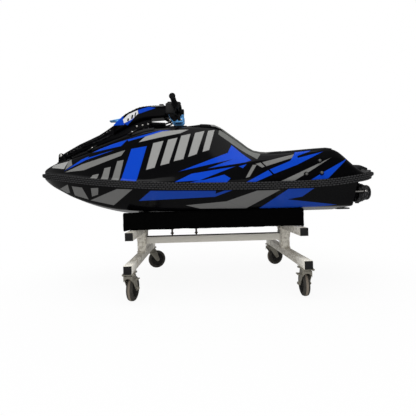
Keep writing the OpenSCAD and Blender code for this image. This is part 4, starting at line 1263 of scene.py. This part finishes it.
class CRAFT_OT_casters(DressOperator):
    """Builds the casters: pressed forks, rounded tyres with a worn tread, hubs, nuts and brake pedals"""
    bl_idname = "craft.casters"
    bl_label = "Casters"

    def dress(self, context):
        rounded("caster_plates", "swivel_plates", 0.0012, "zinc", ROOT, "zinc_steel")
        heads = []
        for corner, turn, side in CASTERS:
            heads += self.caster(corner, math.radians(turn), side)
        bolts = scatter("plate_bolts", dome("hex", 0.0065, 0.0045, 6), heads)
        dress(bolts, finish("zinc"), ROOT, "zinc_steel")

    def caster(self, corner, turn, side):
        """One caster; gives back the places of its plate's bolts."""
        wheel, swivel = "wheel_" + corner, "swivel_" + corner
        low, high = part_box("hub_" + corner)
        centre = (low + high) / 2
        ahead = Vector((math.cos(turn), math.sin(turn), 0))
        axle = Vector((-math.sin(turn), math.cos(turn), 0))
        on_axle = aim(axle, centre)
        tyre = lathe("tyre_body_" + corner, TYRE_PROFILE, 64)
        settle(tyre, on_axle)
        dress(smooth(tyre, 40), finish("tyre"), wheel, "tyre_grey", "tyre_" + corner)
        tread = lathe("tyre_tread_" + corner, TREAD_PROFILE, 64)
        settle(tread, on_axle)
        dress(smooth(tread, 40), finish("tread"), wheel, "tyre_grey")
        hub = lathe("hub_disc_" + corner, HUB_PROFILE, 48)
        settle(hub, on_axle)
        rib = block("rib", (0.016, -0.0018, 0.006), (0.040, 0.0018, 0.0112), 0.0012, 1)
        spokes = scatter("hub_ribs_" + corner, rib, [
            on_axle @ flip @ Matrix.Rotation(math.radians(45 * i), 4, "Z") for i in range(8)
            for flip in (Matrix.Identity(4), Matrix.Rotation(math.pi, 4, "X"))])
        hub = join("hub_disc_" + corner, [hub, spokes])
        dress(smooth(hub, 40), finish("hub"), wheel, "hub_plastic", "hub_" + corner)
        rounded("fork_" + corner, "fork_press_" + corner, 0.0012, "zinc", swivel, "zinc_steel")
        fork_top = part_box("fork_" + corner)[1].z
        trail, skirt_out, nut_out, pedal_drop = 0.038, 0.0245, 0.0285, 0.020
        pivot = centre - ahead * trail
        skirt = slab("fork_skirt_" + corner, SKIRT_OUTLINE, 0.0025)
        face = Matrix((axle, Vector((0, 0, 1)), -ahead)).transposed().to_4x4()
        settle(skirt, Matrix.Translation((pivot.x, pivot.y, fork_top)) @ face
               @ Matrix.Translation((0, 0, skirt_out)))
        bevel(skirt, 0.0008)
        nuts = scatter("axle_nuts_" + corner, dome("nut", 0.0078, 0.006, 6),
                       [aim(axle * s, centre + axle * s * nut_out) for s in (-1, 1)])
        near, far = sorted((side * 0.027, side * 0.042))
        pedal = block("pedal", (-0.006, near, -0.004), (0.030, far, 0.0005), 0.0015)
        settle(pedal, Matrix.Translation((pivot.x, pivot.y, fork_top - pedal_drop))
               @ Matrix((ahead, axle, Vector((0, 0, 1)))).transposed().to_4x4())
        press = join("fork_trim_" + corner, [skirt, nuts, pedal])
        dress(smooth(press, 30), finish("zinc"), swivel, "zinc_steel")
        plate_foot = fork_top + 0.0075
        return [aim((0, 0, -1), (pivot.x + 0.024 * i, pivot.y + 0.034 * j, plate_foot))
                for i in (-1, 1) for j in (-1, 1)]


def stage_material(name, tint, shadow, mirrored):
    """Pale stage surface: plain under light, mostly white to the eye, and dimmer in reflections."""
    material = bpy.data.materials.new(name)
    material.use_nodes = True
    tree = material.node_tree
    tree.nodes.clear()
    n = Nodes(tree)
    path = n.add("ShaderNodeLightPath").outputs
    seen = n.math("MAXIMUM", n.math("MAXIMUM", path["Is Camera Ray"], path["Is Glossy Ray"]),
                  path["Is Transmission Ray"])
    white = n.add("ShaderNodeEmission", {"Color": (1, 1, 1, 1),
                                         "Strength": n.span(path["Is Glossy Ray"], 0, 1, 1.0, mirrored)})
    matt = n.add("ShaderNodeBsdfDiffuse", {"Color": tint})
    away = n.add("ShaderNodeVectorMath", {0: n.object_place()}, operation="LENGTH").outputs["Value"]
    shadow_reach, clear_reach = 0.7, 1.6
    glow = n.span(away, shadow_reach, clear_reach, 1 - shadow, 1.0)
    mixed = n.add("ShaderNodeMixShader", {0: n.math("MULTIPLY", seen, glow), 1: matt.outputs[0],
                                          2: white.outputs[0]})
    out = n.add("ShaderNodeOutputMaterial")
    tree.links.new(mixed.outputs[0], out.inputs["Surface"])
    return material


class CRAFT_OT_stage(DressOperator):
    """Makes the floor, the light and the camera"""
    bl_idname = "craft.stage"
    bl_label = "Stage"

    def dress(self, context):
        setup = context.scene.stage_settings
        pick()
        bpy.ops.mesh.primitive_plane_add(size=60, location=(0, 0, 0))
        floor = context.object
        floor.name = "studio_floor"
        pale = (0.86, 0.86, 0.86, 1)
        floor.data.materials.append(stage_material("studio_floor", pale, setup.shadow, setup.mirrored))
        world = bpy.data.worlds.new("studio")
        world.use_nodes = True
        context.scene.world = world
        n = Nodes(world.node_tree)
        path = n.add("ShaderNodeLightPath").outputs
        seen = n.math("MAXIMUM", path["Is Camera Ray"], path["Is Transmission Ray"])
        light = n.span(seen, 0, 1, setup.ambient, 1.0)
        back = world.node_tree.nodes["Background"]
        back.inputs["Color"].default_value = (1, 1, 1, 1)
        way = n.add("ShaderNodeTexCoord").outputs["Generated"]
        up = n.add("ShaderNodeSeparateXYZ", {0: way}).outputs["Z"]
        sky = n.span(up, 0.30, 0.95, 0.4 * setup.mirrored, 2.4 * setup.mirrored)
        strength = n.span(path["Is Glossy Ray"], 0, 1, light, sky)
        world.node_tree.links.new(strength, back.inputs["Strength"])
        for name, place, target, size, power in (
                ("overhead", (0.2, 0.6, 3.2), (0, 0, 0.6), (3.2, 2.0), 52),
                ("front_fill", (0.4, 3.4, 1.6), (0, 0, 0.5), (2.6, 1.6), 26)):
            bpy.ops.object.light_add(type="AREA", location=place)
            lamp = context.object
            lamp.name = name
            lamp.data.shape = "RECTANGLE"
            lamp.data.size, lamp.data.size_y = size
            lamp.data.energy = power
            lamp.rotation_euler = (Vector(target) - Vector(place)).to_track_quat("-Z", "Y").to_euler()
        bpy.ops.object.camera_add(location=setup.eye, rotation=setup.turn)
        camera = context.object
        camera.name = "photo_camera"
        camera.data.sensor_width = 36
        camera.data.lens = setup.lens
        camera.data.shift_x, camera.data.shift_y = setup.shift
        camera.data.clip_end = 200
        context.scene.camera = camera
        context.scene.view_settings.view_transform = "Standard"


class CRAFT_PT_panel(bpy.types.Panel):
    """Lists the dressing steps"""
    bl_idname = "CRAFT_PT_panel"
    bl_label = "Craft"
    bl_space_type = "VIEW_3D"
    bl_region_type = "UI"
    bl_category = "Craft"

    def draw(self, context):
        for group in (context.scene.craft_colours, context.scene.craft_sizes, context.scene.stage_settings):
            box = self.layout.box()
            for name in group.__annotations__:
                box.prop(group, name)
        for operator in STEPS:
            self.layout.operator(operator.bl_idname)


STEPS = (CRAFT_OT_mouldings, CRAFT_OT_rub_rail, CRAFT_OT_pads, CRAFT_OT_mats, CRAFT_OT_footholds,
         CRAFT_OT_pole, CRAFT_OT_bars, CRAFT_OT_jet, CRAFT_OT_cart_frame, CRAFT_OT_bunks, CRAFT_OT_casters,
         CRAFT_OT_stage)
GROUPS = (("craft_colours", CraftColours), ("craft_sizes", CraftSizes), ("stage_settings", StageSettings))


def register():
    for name, group in GROUPS:
        bpy.utils.register_class(group)
        setattr(bpy.types.Scene, name, PointerProperty(type=group))
    for operator in STEPS:
        bpy.utils.register_class(operator)
    bpy.utils.register_class(CRAFT_PT_panel)


def unregister():
    bpy.utils.unregister_class(CRAFT_PT_panel)
    for operator in reversed(STEPS):
        bpy.utils.unregister_class(operator)
    for name, group in reversed(GROUPS):
        delattr(bpy.types.Scene, name)
        bpy.utils.unregister_class(group)


def main():
    register()
    bpy.ops.craft.mouldings()
    bpy.ops.craft.rub_rail()
    bpy.ops.craft.pads()
    bpy.ops.craft.mats()
    bpy.ops.craft.footholds()
    bpy.ops.craft.pole()
    bpy.ops.craft.bars()
    bpy.ops.craft.jet()
    bpy.ops.craft.cart_frame()
    bpy.ops.craft.bunks()
    bpy.ops.craft.casters()
    bpy.ops.craft.stage()


if __name__ == "__main__":
    main()
